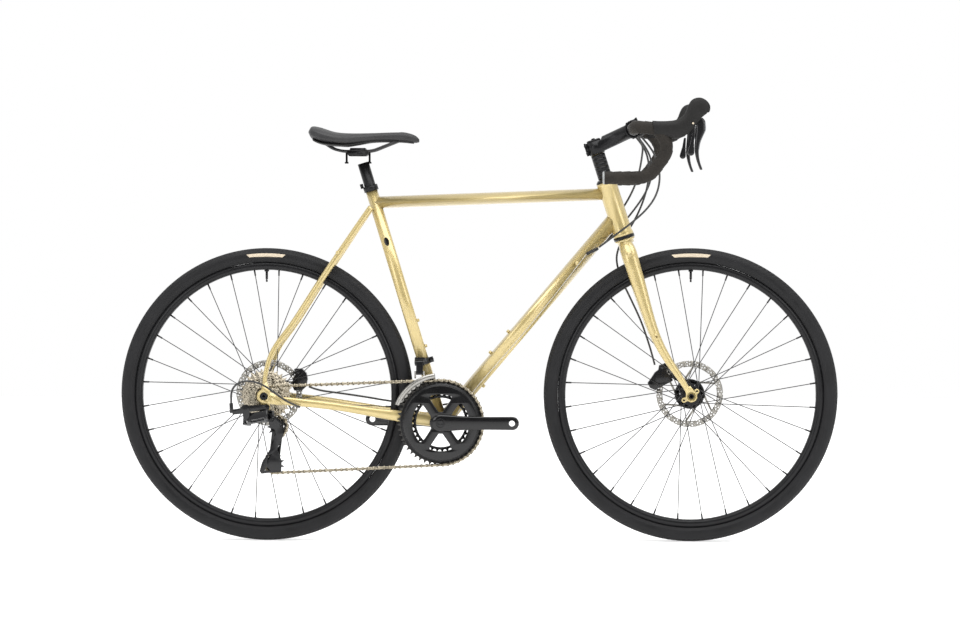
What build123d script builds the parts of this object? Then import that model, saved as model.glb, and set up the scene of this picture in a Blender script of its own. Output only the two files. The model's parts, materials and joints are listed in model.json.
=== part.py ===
from build123d import *
import math
import os

# Road bicycle in millimetres. +X is forward, +Z is up, -Y is the drive side.
# The origin lies on the ground, midway between the two axles.

os.makedirs("parts", exist_ok=True)

# Driving dimensions
wheel_base = 1015.0
tyre_radius = 351.0
axle_height = tyre_radius
seat_angle = 73.15
head_angle = 72.3
crank_length = 170.0
chain_pitch = 12.7
big_ring_teeth = 50
small_ring_teeth = 34
top_cog_teeth = 11
cassette_teeth = [11, 12, 13, 14, 15, 17, 19, 21, 24, 27, 30]
cog_pitch = 3.74
top_cog_y = -63.7
big_ring_y = -47.0
small_ring_y = -40.0
spoke_count = 32
bar_half_width = 213.0
running_gap = 0.05

# Main points
rear_axle = (-wheel_base / 2, 0, axle_height)
front_axle = (wheel_base / 2, 0, axle_height)
bracket = (-88.3, 0, 287.0)
seat_dir = Vector(-math.cos(math.radians(seat_angle)), 0, math.sin(math.radians(seat_angle)))
head_dir = Vector(-math.cos(math.radians(head_angle)), 0, math.sin(math.radians(head_angle)))
head_low = Vector(347.1, 0, 731.5)
head_length = 134.0
bar_centre = (370.0, 0, 985.5)

# Tube radii
seat_tube_r = 14.3
seat_bore_r = 13.65
top_tube_r = 14.3
down_tube_r = 18.0
head_tube_r = 23.3
head_bore_r = 21.0
shell_r = 20.0
shell_half = 34.0
steerer_r = 14.3
bar_r = 11.9
tape_r = 15.0
axle_r = 6.0


def on_seat(distance):
    return Vector(*bracket) + seat_dir * distance


def on_head(distance):
    return head_low + head_dir * distance


def save(name, *shapes):
    solids = []
    for shape in shapes:
        solids.extend(shape.solids())
    export_step(Compound(solids), f"parts/{name}.step")


def both_sides(shape):
    return [shape, mirror(shape, about=Plane.XZ)]


def rod(start, end, radius, bore=0.0):
    """Round bar or tube between two points."""
    line = Vector(*end) - Vector(*start)
    section = Circle(radius)
    if bore:
        section = section - Circle(bore)
    return extrude(Plane(origin=start, z_dir=line) * section, amount=line.length)


def cross_pin(x, z, y0, y1, radius, bore=0.0):
    return rod((x, y0, z), (x, y1, z), radius, bore)


def turned(origin, direction, *profile):
    """Solid of revolution from (radius, distance along the axis) corners."""
    face = make_face(Polyline(*[(r, 0, h) for r, h in profile], close=True))
    solid = revolve(face, axis=Axis.Z, revolution_arc=360)
    return Plane(origin=origin, z_dir=direction) * solid


def side_plate(sketch, y0, y1):
    """Flat plate whose outline is drawn in X and Z, between two Y planes."""
    plane = Plane(origin=(0, y0, 0), x_dir=(1, 0, 0), z_dir=(0, -1, 0))
    return extrude(plane * sketch, amount=y1 - y0, dir=(0, 1, 0))


def outline(*points, corner=0.0):
    sketch = Sketch() + make_face(Polyline(*points, close=True))
    if corner:
        sketch = fillet(sketch.vertices(), corner)
    return sketch


def smooth_outline(*points):
    return Sketch() + make_face(Spline(*points, periodic=True))


def disc(x, z, radius):
    return Pos(x, z) * Circle(radius)


def link_shape(p, r_p, q, r_q):
    """Convex outline round two circles."""
    return Sketch() + make_hull(disc(*p, r_p).edges() + disc(*q, r_q).edges())


def between(marks, values, place):
    """Value at a place, by straight interpolation between marks."""
    for index in range(1, len(marks)):
        if place <= marks[index] or index == len(marks) - 1:
            part = (place - marks[index - 1]) / (marks[index] - marks[index - 1])
            return values[index - 1] + (values[index] - values[index - 1]) * part


def tapered(stations, count=14):
    """Smooth round or oval tube; stations are (point, half width across, half height)."""
    points = [Vector(*station[0]) for station in stations]
    marks = [0.0]
    for start, end in zip(points, points[1:]):
        marks.append(marks[-1] + (end - start).length)
    marks = [mark / marks[-1] for mark in marks]
    path = Spline(*points)
    sections = []
    for index in range(count + 1):
        place = index / count
        forward = path % place
        side = Vector(0, 1, 0) - forward * forward.Y
        plane = Plane(origin=path @ place, x_dir=side, z_dir=forward)
        across = between(marks, [station[1] for station in stations], place)
        tall = between(marks, [station[2] for station in stations], place)
        sections.append(plane * Ellipse(across, tall))
    return loft(sections)


def pipe(points, radius, bore=0.0, bend=1000.0):
    """Round pipe along straight runs joined by the largest arcs that the runs allow."""
    corners = [Vector(*p) for p in points]
    radii = []
    for a, b, c in zip(corners, corners[1:], corners[2:]):
        turn = math.radians((b - a).get_angle(c - b))
        room = 0.45 * min((b - a).length, (c - b).length) / math.tan(turn / 2)
        radii.append(min(bend, room))
    path = FilletPolyline(*corners, radius=radii) if radii else Line(*corners)
    section = Circle(radius)
    if bore:
        section = section - Circle(bore)
    start = Plane(origin=path @ 0, z_dir=path % 0)
    return sweep(start * section, path=path)


# Frame tubes

shell_solid = cross_pin(bracket[0], bracket[2], -shell_half, shell_half, shell_r)
head_flare_r = 25.2
head_outline = [
    (head_flare_r, 0),
    (head_flare_r, 5),
    (head_tube_r, 11),
    (head_tube_r, head_length - 11),
    (head_flare_r, head_length - 5),
    (head_flare_r, head_length),
]
head_solid = turned(head_low, head_dir, (0, 0), *head_outline, (0, head_length))
seat_solid = rod(bracket, on_seat(587), seat_tube_r)
top_rear = on_seat(547.5)
top_front = Vector(315.1, 0, 831.4)
down_front = Vector(331.8, 0, 779.3)
down_rear = Vector(-85.5, 0, 287.0)
down_dir = (down_front - down_rear).normalized()
down_normal = Vector(-down_dir.Z, 0, down_dir.X)


def on_down(distance, side=0.0, out=0.0):
    """Point along the down tube, sideways in Y and out from its upper face."""
    return down_rear + down_dir * distance + Vector(0, side, 0) + down_normal * out


def build_main_tubes():
    head_tube = turned(head_low, head_dir, (head_bore_r, 0), *head_outline, (head_bore_r, head_length))
    seat_tube = rod(bracket, on_seat(587), seat_tube_r, seat_bore_r) - shell_solid
    slot_centre = on_seat(572) + Vector(-14, 0, 0)
    seat_tube = seat_tube - Plane(origin=slot_centre, z_dir=seat_dir) * Box(14, 2.4, 34)
    top_tube = rod(top_rear, top_front, top_tube_r, top_tube_r - 1) - seat_solid - head_solid
    down_tube = rod(down_rear, down_front, down_tube_r, down_tube_r - 1)
    down_tube = down_tube - shell_solid - head_solid - seat_solid
    shell = cross_pin(bracket[0], bracket[2], -shell_half, shell_half, shell_r, 17.0)
    save("head_tube", head_tube)
    save("seat_tube", seat_tube)
    save("top_tube", max_solid(top_tube))
    save("down_tube", max_solid(down_tube))
    save("bottom_bracket_shell", shell)


def max_solid(shape):
    return max(shape.solids(), key=lambda solid: solid.volume)


# Rear triangle

dropout_inner = 71.0
dropout_outer = 78.0


def dropout_outline(hanger):
    sketch = disc(rear_axle[0], rear_axle[2], 17)
    sketch = sketch + outline((-514, 362), (-510.5, 386), (-499.5, 386), (-492, 360))
    sketch = sketch + outline((-505, 368), (-490, 360), (-464, 350), (-464, 329), (-500, 334))
    if hanger:
        sketch = sketch + link_shape((-509, 345), 10, (-500, 324), 8)
    return sketch - disc(rear_axle[0], rear_axle[2], axle_r)


def build_rear_triangle():
    dropouts = [
        side_plate(dropout_outline(True), -dropout_outer, -dropout_inner),
        side_plate(dropout_outline(False), dropout_inner, dropout_outer),
    ]
    seatstay = tapered([
        ((-256, 14.5, 800), 7.2, 7.2),
        ((-335, 29.5, 684), 7.5, 7.5),
        ((-400.5, 41, 585), 7.4, 7.4),
        ((-452, 51, 507), 7.2, 7.2),
        ((-482.5, 59.5, 465), 6.8, 6.8),
        ((-495.5, 65.5, 437), 6.3, 6.3),
        ((-502, 70.5, 412), 5.8, 5.8),
        ((-505, 74.5, 380), 3.4, 5.4),
    ])
    chainstay = tapered([
        ((-98, 24, 290), 8.5, 14.3),
        ((-150, 28.5, 295.5), 8.0, 14.0),
        ((-185, 33.5, 301), 8.2, 13.4),
        ((-240, 43.5, 310), 8.8, 11.6),
        ((-317, 57.5, 323), 9.0, 9.6),
        ((-400, 69, 334), 8.0, 9.6),
        ((-440, 73.5, 338), 6.0, 9.8),
        ((-470, 74.5, 341), 3.4, 8.6),
    ])
    plates = dropouts[0] + dropouts[1]
    seatstays = []
    for stay in both_sides(seatstay):
        seatstays.append(max_solid(stay - seat_solid - plates))
    chainstays = []
    for stay in both_sides(chainstay):
        chainstays.append(max_solid(stay - shell_solid - seat_solid - plates))
    stay_bridge = cross_pin(-331, 690, -40, 40, 6.0, 5.0)
    stay_bridge = centre_solid(stay_bridge - seatstays[0] - seatstays[1])
    chain_bridge = cross_pin(-137, 293, -40, 40, 6.0, 5.0)
    chain_bridge = centre_solid(chain_bridge - chainstays[0] - chainstays[1])
    seatstays[1] = max_solid(seatstays[1] - seatstays[0])
    save("rear_dropouts", *dropouts)
    save("seatstays", *seatstays, stay_bridge)
    save("chainstays", *chainstays, chain_bridge)
    return seatstays


def centre_solid(shape):
    return min(shape.solids(), key=lambda solid: abs(solid.center().Y))


# Small brazed-on fittings, all cut to the tubes that carry them

def boss(base, direction, radius=4.2, height=4.0, bolt=True):
    """Threaded boss with a domed bolt head."""
    piece = rod(base, Vector(*base) + direction * height, radius)
    if not bolt:
        return [piece]
    head_at = Vector(*base) + direction * height
    head = turned(head_at, direction, (0, 0), (4.0, 0), (4.0, 1.4), (2.6, 2.6), (0, 2.6))
    return [piece, head]


def build_fittings(seatstays):
    tubes = seat_solid + rod(down_rear, down_front, down_tube_r)
    seat_front = Vector(seat_dir.Z, 0, -seat_dir.X)
    pieces = []
    for distance in (248, 184):
        pieces += boss(on_seat(distance) + seat_front * (seat_tube_r - 1), seat_front)
    for distance in (266, 200):
        pieces += boss(on_down(distance, 0, down_tube_r - 1), down_normal)
    pieces += boss(on_down(128, 0, -down_tube_r + 1), down_normal * -1)
    pieces = [piece - tubes for piece in pieces]
    hose_way = rod((290, 26.5, 739), (210, 20.5, 647), 3.6)
    for side in (-1, 1):
        eyelet = rod((-334, side * 36, 692), (-334, side * 42, 692), 4.6)
        pieces.append(eyelet - seatstays[0] - seatstays[1])
        bolt_at = (-334, side * 42, 692)
        bolt = turned(bolt_at, (0, side, 0), (0, 0), (4.4, 0), (4.4, 1.6), (3.0, 3.2), (0, 3.2))
        pieces.append(bolt)
        block = Plane(origin=on_down(497, side * 20.5, 0), z_dir=(1, 0, 0.37)) * Box(9, 10, 9)
        block = block - tubes - hose_way
        pieces.append(max_solid(block - rod((250, side * 30.8, 684.7), (292, side * 27.6, 705), 4.25)))
    save("frame_fittings", *[max_solid(piece) for piece in pieces])


def build_seat_collar():
    collar = rod(on_seat(576), on_seat(588), 17.6, seat_tube_r)
    lip = rod(on_seat(588), on_seat(589.4), 17.6, seat_bore_r + 0.6)
    back = on_seat(582) + Vector(-20, 0, 6)
    ear = Plane(origin=back, z_dir=seat_dir) * Box(10, 16, 11)
    ear = ear - rod(on_seat(560), on_seat(600), 17.6)
    ear = ear - Plane(origin=back, z_dir=seat_dir) * Box(12, 1.6, 14)
    bolt_low = back + Vector(-1, -9.5, 0)
    bolt = rod(bolt_low, bolt_low + Vector(0, 19, 0), 2.5)
    collar_ears = [max_solid(half) for half in (ear & Pos(back.X, 20, back.Z) * Box(60, 40, 60),
                                                ear & Pos(back.X, -20, back.Z) * Box(60, 40, 60))]
    collar_ears = [half - bolt for half in collar_ears]
    save("seatpost_collar", collar + lip, *collar_ears, bolt)


# Wheels

def rim_and_tyre(centre):
    plane = Plane(origin=(0, 0, 0), x_dir=(0, 1, 0), z_dir=(1, 0, 0))
    casing_centre = 332.2
    casing_r = 18.8
    wall = 2.4
    flange_r = 317.0
    bed_r = 309.0
    spin = Axis((0, 0, 0), (0, 1, 0))
    casing = disc(0, casing_centre, casing_r) - disc(0, casing_centre, casing_r - wall)
    casing = casing - Pos(0, flange_r - 25) * Rectangle(60, 50)
    for side in (-1, 1):
        casing = casing + Pos(side * 9.2, (bed_r + flange_r + 1.5) / 2) * Rectangle(3.2,
            flange_r + 1.5 - bed_r)
    tyre = revolve(plane * casing, axis=spin)
    shape = [(6.5, 299), (11.8, 303.5), (12.6, 307), (12.6, flange_r), (10.8, flange_r), (10.8, bed_r)]
    left = [(-y, r) for y, r in reversed(shape)]
    rim = outline(*shape, (5.5, 307), (-5.5, 307), *left)
    rim = rim - outline((6, 301), (10.4, 304.8), (10.4, 306.4), (5, 305.2), (-5, 305.2), (-10.4, 306.4),
                        (-10.4, 304.8), (-6, 301))
    rim = revolve(plane * rim, axis=spin)
    valve = turned((0, 0, 298.95), (0, 0, -1), (0, 0), (3.0, 0), (3.0, 22), (1.2, 23), (2.2, 24), (2.2,
        29), (0, 29))
    nut = turned((0, 0, 298.8), (0, 0, -1), (3.05, 0), (5.6, 0), (5.6, 3), (4.6, 4), (3.05, 4))
    return [Pos(*centre) * piece for piece in (tyre, rim, valve, nut)]


def lace(centre, flanges):
    """32 spokes, three-cross; flanges are (y, radius, first rim angle) for each side."""
    per_side = spoke_count // 2
    step = 360 / per_side
    solids = []
    for y, radius, first in flanges:
        for index in range(per_side):
            lead = 1 if index % 2 else -1
            rim_angle = math.radians(first + index * step)
            hub_angle = rim_angle + lead * math.radians(67.5)
            bow = lead * 2.2
            start = Vector(radius * math.cos(hub_angle), y + bow, radius * math.sin(hub_angle))
            ending = Vector(299 * math.cos(rim_angle), math.copysign(2.0, y), 299 * math.sin(rim_angle))
            line = (ending - start).normalized()
            spoke = rod(start, ending, 1.0)
            nipple = rod(ending - line * 13, ending, 2.0)
            elbow = rod(start, start - Vector(0, bow * 2, 0), 1.0)
            head_at = start - Vector(0, bow * 2, 0)
            head = rod(head_at, head_at - Vector(0, bow * 0.4, 0), 2.0)
            solids.append(Pos(*centre) * (spoke + nipple + elbow + head + Pos(*start) * Sphere(1.0)))
    return solids


def rotor(centre, y, hub_r):
    """Brake rotor: drilled band, six arms and a splined carrier with its lockring."""
    band = Circle(80) - Circle(65.5)
    for index in range(12):
        angle = index * 30
        band = band - Rot(0, 0, angle) * Pos(80.8, 0) * Circle(2.6)
        band = band - Rot(0, 0, angle + 15) * Pos(64.8, 0) * Circle(2.6)
    for index in range(24):
        for radius, shift in ((76.2, 5), (72.8, 0), (69.4, 5)):
            band = band - Rot(0, 0, index * 15 + shift) * Pos(radius, 0) * Circle(1.75)
    arms = Sketch() + (Circle(36) - Circle(27))
    for index in range(6):
        bend = math.radians(index * 60)
        root = (33 * math.cos(bend), 33 * math.sin(bend))
        lean = bend - math.radians(38)
        tip = (67 * math.cos(lean), 67 * math.sin(lean))
        arms = arms + link_shape(root, 2.6, tip, 2.2)
    plane = Plane(origin=(0, y - 0.9, 0), x_dir=(1, 0, 0), z_dir=(0, -1, 0))
    steel = extrude(plane * (band + arms), amount=1.8, dir=(0, 1, 0))
    carrier_ring = Circle(26.95) - Circle(hub_r)
    for index in range(6):
        carrier_ring = carrier_ring - Rot(0, 0, index * 60) * Pos(22.5, 0) * Circle(1.9)
    plane = Plane(origin=(0, y - 2, 0), x_dir=(1, 0, 0), z_dir=(0, -1, 0))
    carrier = extrude(plane * carrier_ring, amount=4, dir=(0, 1, 0))
    lock = Circle(19.5) - Circle(hub_r)
    plane = Plane(origin=(0, y + 2, 0), x_dir=(1, 0, 0), z_dir=(0, -1, 0))
    lockring = extrude(plane * lock, amount=1.8, dir=(0, 1, 0))
    return [Pos(*centre) * piece for piece in (steel, carrier, lockring)]


def build_wheels():
    bore = axle_r + running_gap
    for name, centre in (("front", front_axle), ("rear", rear_axle)):
        tyre, rim, valve, nut = rim_and_tyre(centre)
        save(f"{name}_tyre", tyre)
        save(f"{name}_rim", rim, valve, nut)
    front_hub = turned(
        (0, -49.6, 0), (0, 1, 0),
        (bore, 0), (9.5, 0), (9.5, 5), (12, 8), (13, 12), (22.5, 13.6), (23.5, 14.2), (23.5, 17), (22,
        17.4),
        (15, 19), (11.5, 28), (11.5, 58), (15, 67), (20, 71.6), (23.5, 72.2), (23.5, 75), (22.5, 75.6),
        (17, 77), (14.6, 80), (14.6, 92.6), (9.5, 93), (9.5, 99.2), (bore, 99.2),
    )
    rear_hub = turned(
        (0, -22.4, 0), (0, 1, 0),
        (bore, 0), (21, 0), (26, 1.2), (27, 2), (27, 4.6), (25, 5.2), (17, 8), (13.5, 16), (13, 40),
        (15.5, 50),
        (21, 54.8), (23.5, 55.6), (23.5, 58.4), (22.5, 59), (17, 61), (14.6, 64), (14.6, 78.6), (10, 79),
        (10, 93), (bore, 93),
    )
    front_flanges = ((-34, 21.4, 95.625), (24, 21.4, 84.375))
    rear_flanges = ((-19.1, 24.8, 95.625), (34.6, 21.4, 84.375))
    save("front_hub", Pos(*front_axle) * front_hub)
    save("rear_hub", Pos(*rear_axle) * rear_hub)
    save("front_spokes", *lace(front_axle, front_flanges))
    save("rear_spokes", *lace(rear_axle, rear_flanges))
    save("front_rotor", *rotor(front_axle, 39.0, 14.65))
    save("rear_rotor", *rotor(rear_axle, 52.5, 14.65))
    thread = rod((front_axle[0], -56.2, axle_height), (front_axle[0], 56, axle_height), axle_r)
    hollow = rod((front_axle[0], -58, axle_height), (front_axle[0], -36, axle_height), 3.6)
    save("front_thru_axle", thread - hollow)
    shaft = rod((rear_axle[0], -80.6, axle_height), (rear_axle[0], 80, axle_height), axle_r)
    face = turned((rear_axle[0], -78, axle_height), (0, -1, 0), (axle_r, 0), (9.0, 0), (9.0, 1.6), (8, 2.6),
                  (axle_r, 2.6))
    socket = rod((rear_axle[0], -82, axle_height), (rear_axle[0], -70, axle_height), 3.0)
    save("rear_thru_axle", (shaft + face) - socket)


# Drive train. Teeth are cut round rollers that sit on the pitch circle.

roller_r = 3.85
valley_r = 4.05


def pitch_radius(teeth):
    return chain_pitch / 2 / math.sin(math.pi / teeth)


def toothed(teeth, phase):
    """Outline of a sprocket with a valley at the phase angle, in degrees."""
    radius = pitch_radius(teeth)
    step = 2 * math.pi / teeth
    tip_r = radius + 3.1
    open_angle = math.radians(62)
    edges = []
    first = None
    last = None
    for index in range(teeth):
        turn = math.radians(phase) + index * step

        def place(x, y, angle=turn):
            return (x * math.cos(angle) - y * math.sin(angle), x * math.sin(angle) + y * math.cos(angle))

        down = place(radius - valley_r * math.cos(open_angle), -valley_r * math.sin(open_angle))
        middle = place(radius - valley_r, 0)
        up = place(radius - valley_r * math.cos(open_angle), valley_r * math.sin(open_angle))
        half_tip = 0.8 / tip_r
        tip_in = (tip_r * math.cos(turn + step / 2 - half_tip),
            tip_r * math.sin(turn + step / 2 - half_tip))
        tip_out = (tip_r * math.cos(turn + step / 2 + half_tip),
            tip_r * math.sin(turn + step / 2 + half_tip))
        if last is not None:
            edges.append(Line(last, down))
        else:
            first = down
        edges.append(ThreePointArc(down, middle, up))
        edges.append(Line(up, tip_in))
        edges.append(Line(tip_in, tip_out))
        last = tip_out
    edges.append(Line(last, first))
    return Sketch() + make_face(Wire(edges))


def sprocket_plate(sketch, centre, y, thickness):
    plane = Plane(origin=(centre[0], y - thickness / 2, centre[2]), x_dir=(1, 0, 0), z_dir=(0, -1, 0))
    return extrude(plane * sketch, amount=thickness, dir=(0, 1, 0))


# Pulleys and chain path

guide_centre = (-475.5, top_cog_y, 279.0)
tension_centre = (-489.0, top_cog_y, 190.0)
pulley_teeth = 11


def tangent_line(a, r_a, b, r_b, side_a, side_b):
    """Tangent points of a line from circle a to circle b; each side is +1 left or -1 right of travel."""
    ax, az = a
    bx, bz = b
    dx, dz = bx - ax, bz - az
    length = math.hypot(dx, dz)
    offset = side_a * r_a - side_b * r_b
    base = math.atan2(dz, dx)
    tilt = math.asin(offset / length)
    heading = base + tilt
    normal = (-math.sin(heading), math.cos(heading))
    start = (ax - side_a * r_a * normal[0], az - side_a * r_a * normal[1])
    end = (bx - side_b * r_b * normal[0], bz - side_b * r_b * normal[1])
    return start, end


def chain_path():
    """Closed loop as (kind, data) pieces; it runs rearward along the top."""
    wheels = [
        ((bracket[0], bracket[2]), pitch_radius(big_ring_teeth), 1, big_ring_y),
        ((rear_axle[0], rear_axle[2]), pitch_radius(top_cog_teeth), 1, top_cog_y),
        ((guide_centre[0], guide_centre[2]), pitch_radius(pulley_teeth), -1, top_cog_y),
        ((tension_centre[0], tension_centre[2]), pitch_radius(pulley_teeth), 1, top_cog_y),
    ]
    lines = []
    for index, wheel in enumerate(wheels):
        follow = wheels[(index + 1) % len(wheels)]
        start, end = tangent_line(wheel[0], wheel[1], follow[0], follow[1], wheel[2], follow[2])
        lines.append((start, end, wheel[3], follow[3]))
    pieces = []
    for index, wheel in enumerate(wheels):
        arrive = lines[index - 1][1]
        leave = lines[index][0]
        a0 = math.atan2(arrive[1] - wheel[0][1], arrive[0] - wheel[0][0])
        a1 = math.atan2(leave[1] - wheel[0][1], leave[0] - wheel[0][0])
        sweep_angle = (a1 - a0) % (2 * math.pi) if wheel[2] > 0 else -((a0 - a1) % (2 * math.pi))
        pieces.append(("arc", wheel[0], wheel[1], a0, sweep_angle, wheel[3]))
        pieces.append(("line",) + lines[index])
    return pieces


def along(pieces, distance):
    for piece in pieces:
        if piece[0] == "arc":
            _, centre, radius, a0, swept, y = piece
            length = abs(radius * swept)
            if distance <= length:
                angle = a0 + swept * distance / length
                return Vector(centre[0] + radius * math.cos(angle), y, centre[1] + radius * math.sin(angle))
        else:
            _, start, end, y0, y1 = piece
            length = math.hypot(end[0] - start[0], end[1] - start[1])
            if distance <= length:
                part = distance / length
                lead = min(24.0, length / 3)
                shift = min(max((distance - lead) / (length - 2 * lead), 0.0), 1.0)
                return Vector(start[0] + (end[0] - start[0]) * part, y0 + (y1 - y0) * shift,
                              start[1] + (end[1] - start[1]) * part)
        distance -= length
    return along(pieces, distance)


def path_length(pieces):
    total = 0.0
    for piece in pieces:
        if piece[0] == "arc":
            total += abs(piece[2] * piece[4])
        else:
            total += math.hypot(piece[2][0] - piece[1][0], piece[2][1] - piece[1][1])
    return total


def chain_pins(pieces, chord):
    """Pin centres one chord apart, starting on the big ring; also the overrun at the end."""
    total = path_length(pieces)
    place = 0.0
    pins = [along(pieces, place)]
    while True:
        low, high = place, place + chord * 1.2
        for _ in range(50):
            middle = (low + high) / 2
            if (along(pieces, middle) - pins[-1]).length < chord:
                low = middle
            else:
                high = middle
        if low > total:
            return pins, (low - total)
        place = low
        if total - place < chord * 0.4:
            return pins, place - total
        pins.append(along(pieces, place))


def closed_chain():
    """Shift the tension pulley until a whole even number of links closes the loop."""
    global tension_centre
    best = None
    for step in range(-60, 61):
        trial = (tension_centre[0] + step * 0.1, top_cog_y, tension_centre[2])
        saved = tension_centre
        tension_centre = trial
        pins, error = chain_pins(chain_path(), chain_pitch)
        tension_centre = saved
        if len(pins) % 2 == 0 and (best is None or abs(error) < abs(best[0])):
            best = (error, trial, pins)
    tension_centre = best[1]
    return best[2], best[0]


pins, closing_error = closed_chain()
print("chain links", len(pins), "closing error", round(closing_error, 3), "tension pulley", tension_centre)


def valley_phase(centre, teeth):
    """Angle of a pin that sits on this wheel."""
    radius = pitch_radius(teeth)
    seated = []
    for pin in pins:
        gap = abs(math.hypot(pin.X - centre[0], pin.Z - centre[2]) - radius)
        if gap < 0.02:
            seated.append(pin)
    pin = seated[len(seated) // 2]
    return math.degrees(math.atan2(pin.Z - centre[2], pin.X - centre[0]))


def chain_link(outer):
    """One link along X: two plates joined by two pins or two rollers."""
    length = chain_pitch
    waist = Pos(length / 2, 0) * Rectangle(length, 5.6)
    plate = disc(0, 0, 4.1) + disc(length, 0, 4.1) + waist
    if outer:
        shape = extrude(Pos(0, 0, 2.05) * plate, amount=0.75) + extrude(Pos(0, 0, -2.8) * plate,
            amount=0.75)
        for x in (0, length):
            shape = shape + extrude(Pos(x, 0, -2.9) * Circle(1.7), amount=5.8)
    else:
        shape = extrude(Pos(0, 0, 1.15) * plate, amount=0.75) + extrude(Pos(0, 0, -1.9) * plate,
            amount=0.75)
        for x in (0, length):
            shape = shape + extrude(Pos(x, 0, -1.2) * Circle(roller_r), amount=2.4)
        for x in (0, length):
            shape = shape - extrude(Pos(x, 0, -3) * Circle(1.9), amount=6)
    return shape


def build_chain():
    shapes = [chain_link(True), chain_link(False)]
    solids = []
    for index, pin in enumerate(pins):
        follow = pins[(index + 1) % len(pins)]
        x_dir = (follow - pin).normalized()
        normal = (Vector(0, -1, 0) + x_dir * x_dir.Y).normalized()
        plane = Plane(origin=pin, x_dir=x_dir, z_dir=normal)
        solids.append(plane * shapes[index % 2])
    save("chain", *solids)


def build_cassette():
    solids = []
    for index, teeth in enumerate(cassette_teeth):
        phase = valley_phase(rear_axle, teeth) if teeth == top_cog_teeth else index * 7.0
        inner = 17.5
        sketch = toothed(teeth, phase) - Circle(inner)
        if teeth >= 17:
            mid = (pitch_radius(teeth) - 5 + 21) / 2
            size = min((pitch_radius(teeth) - 5 - 21) / 2 - 0.8, 8.0)
            count = 6 if size < 4 else 8
            for hole in range(count):
                sketch = sketch - Rot(0, 0, hole * 360 / count + index * 9) * Pos(mid, 0) * Circle(size)
        y = top_cog_y + index * cog_pitch
        solids.append(sprocket_plate(sketch, rear_axle, y, 1.6))
        if index:
            spacer_r = 18.1 if index == 1 else 20.4
            ring = Circle(spacer_r) - Circle(inner)
            solids.append(sprocket_plate(ring, rear_axle, y - cog_pitch / 2, cog_pitch - 1.6))
    last_y = top_cog_y + (len(cassette_teeth) - 1) * cog_pitch
    body_low = top_cog_y - 0.8
    body = turned((rear_axle[0], body_low, axle_height), (0, 1, 0), (axle_r + running_gap + 3, 0),
        (17.5, 0),
                  (17.5, last_y + 1.6 - body_low), (axle_r + running_gap, last_y + 1.6 - body_low),
                  (axle_r + running_gap, 3))
    lockring = turned((rear_axle[0], body_low - 2.4, axle_height), (0, 1, 0), (8.5, 0), (17, 0), (18.2,
        1.0),
                      (18.2, 2.4), (8.5, 2.4))
    cap = turned((rear_axle[0], -70.7, axle_height), (0, 1, 0), (axle_r + running_gap, 0), (8.4, 0),
                 (8.4, body_low + 70.7), (axle_r + running_gap, body_low + 70.7))
    save("cassette", *solids, body, lockring, cap)


spider_angles = (56, 124, 236, 304)


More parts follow.
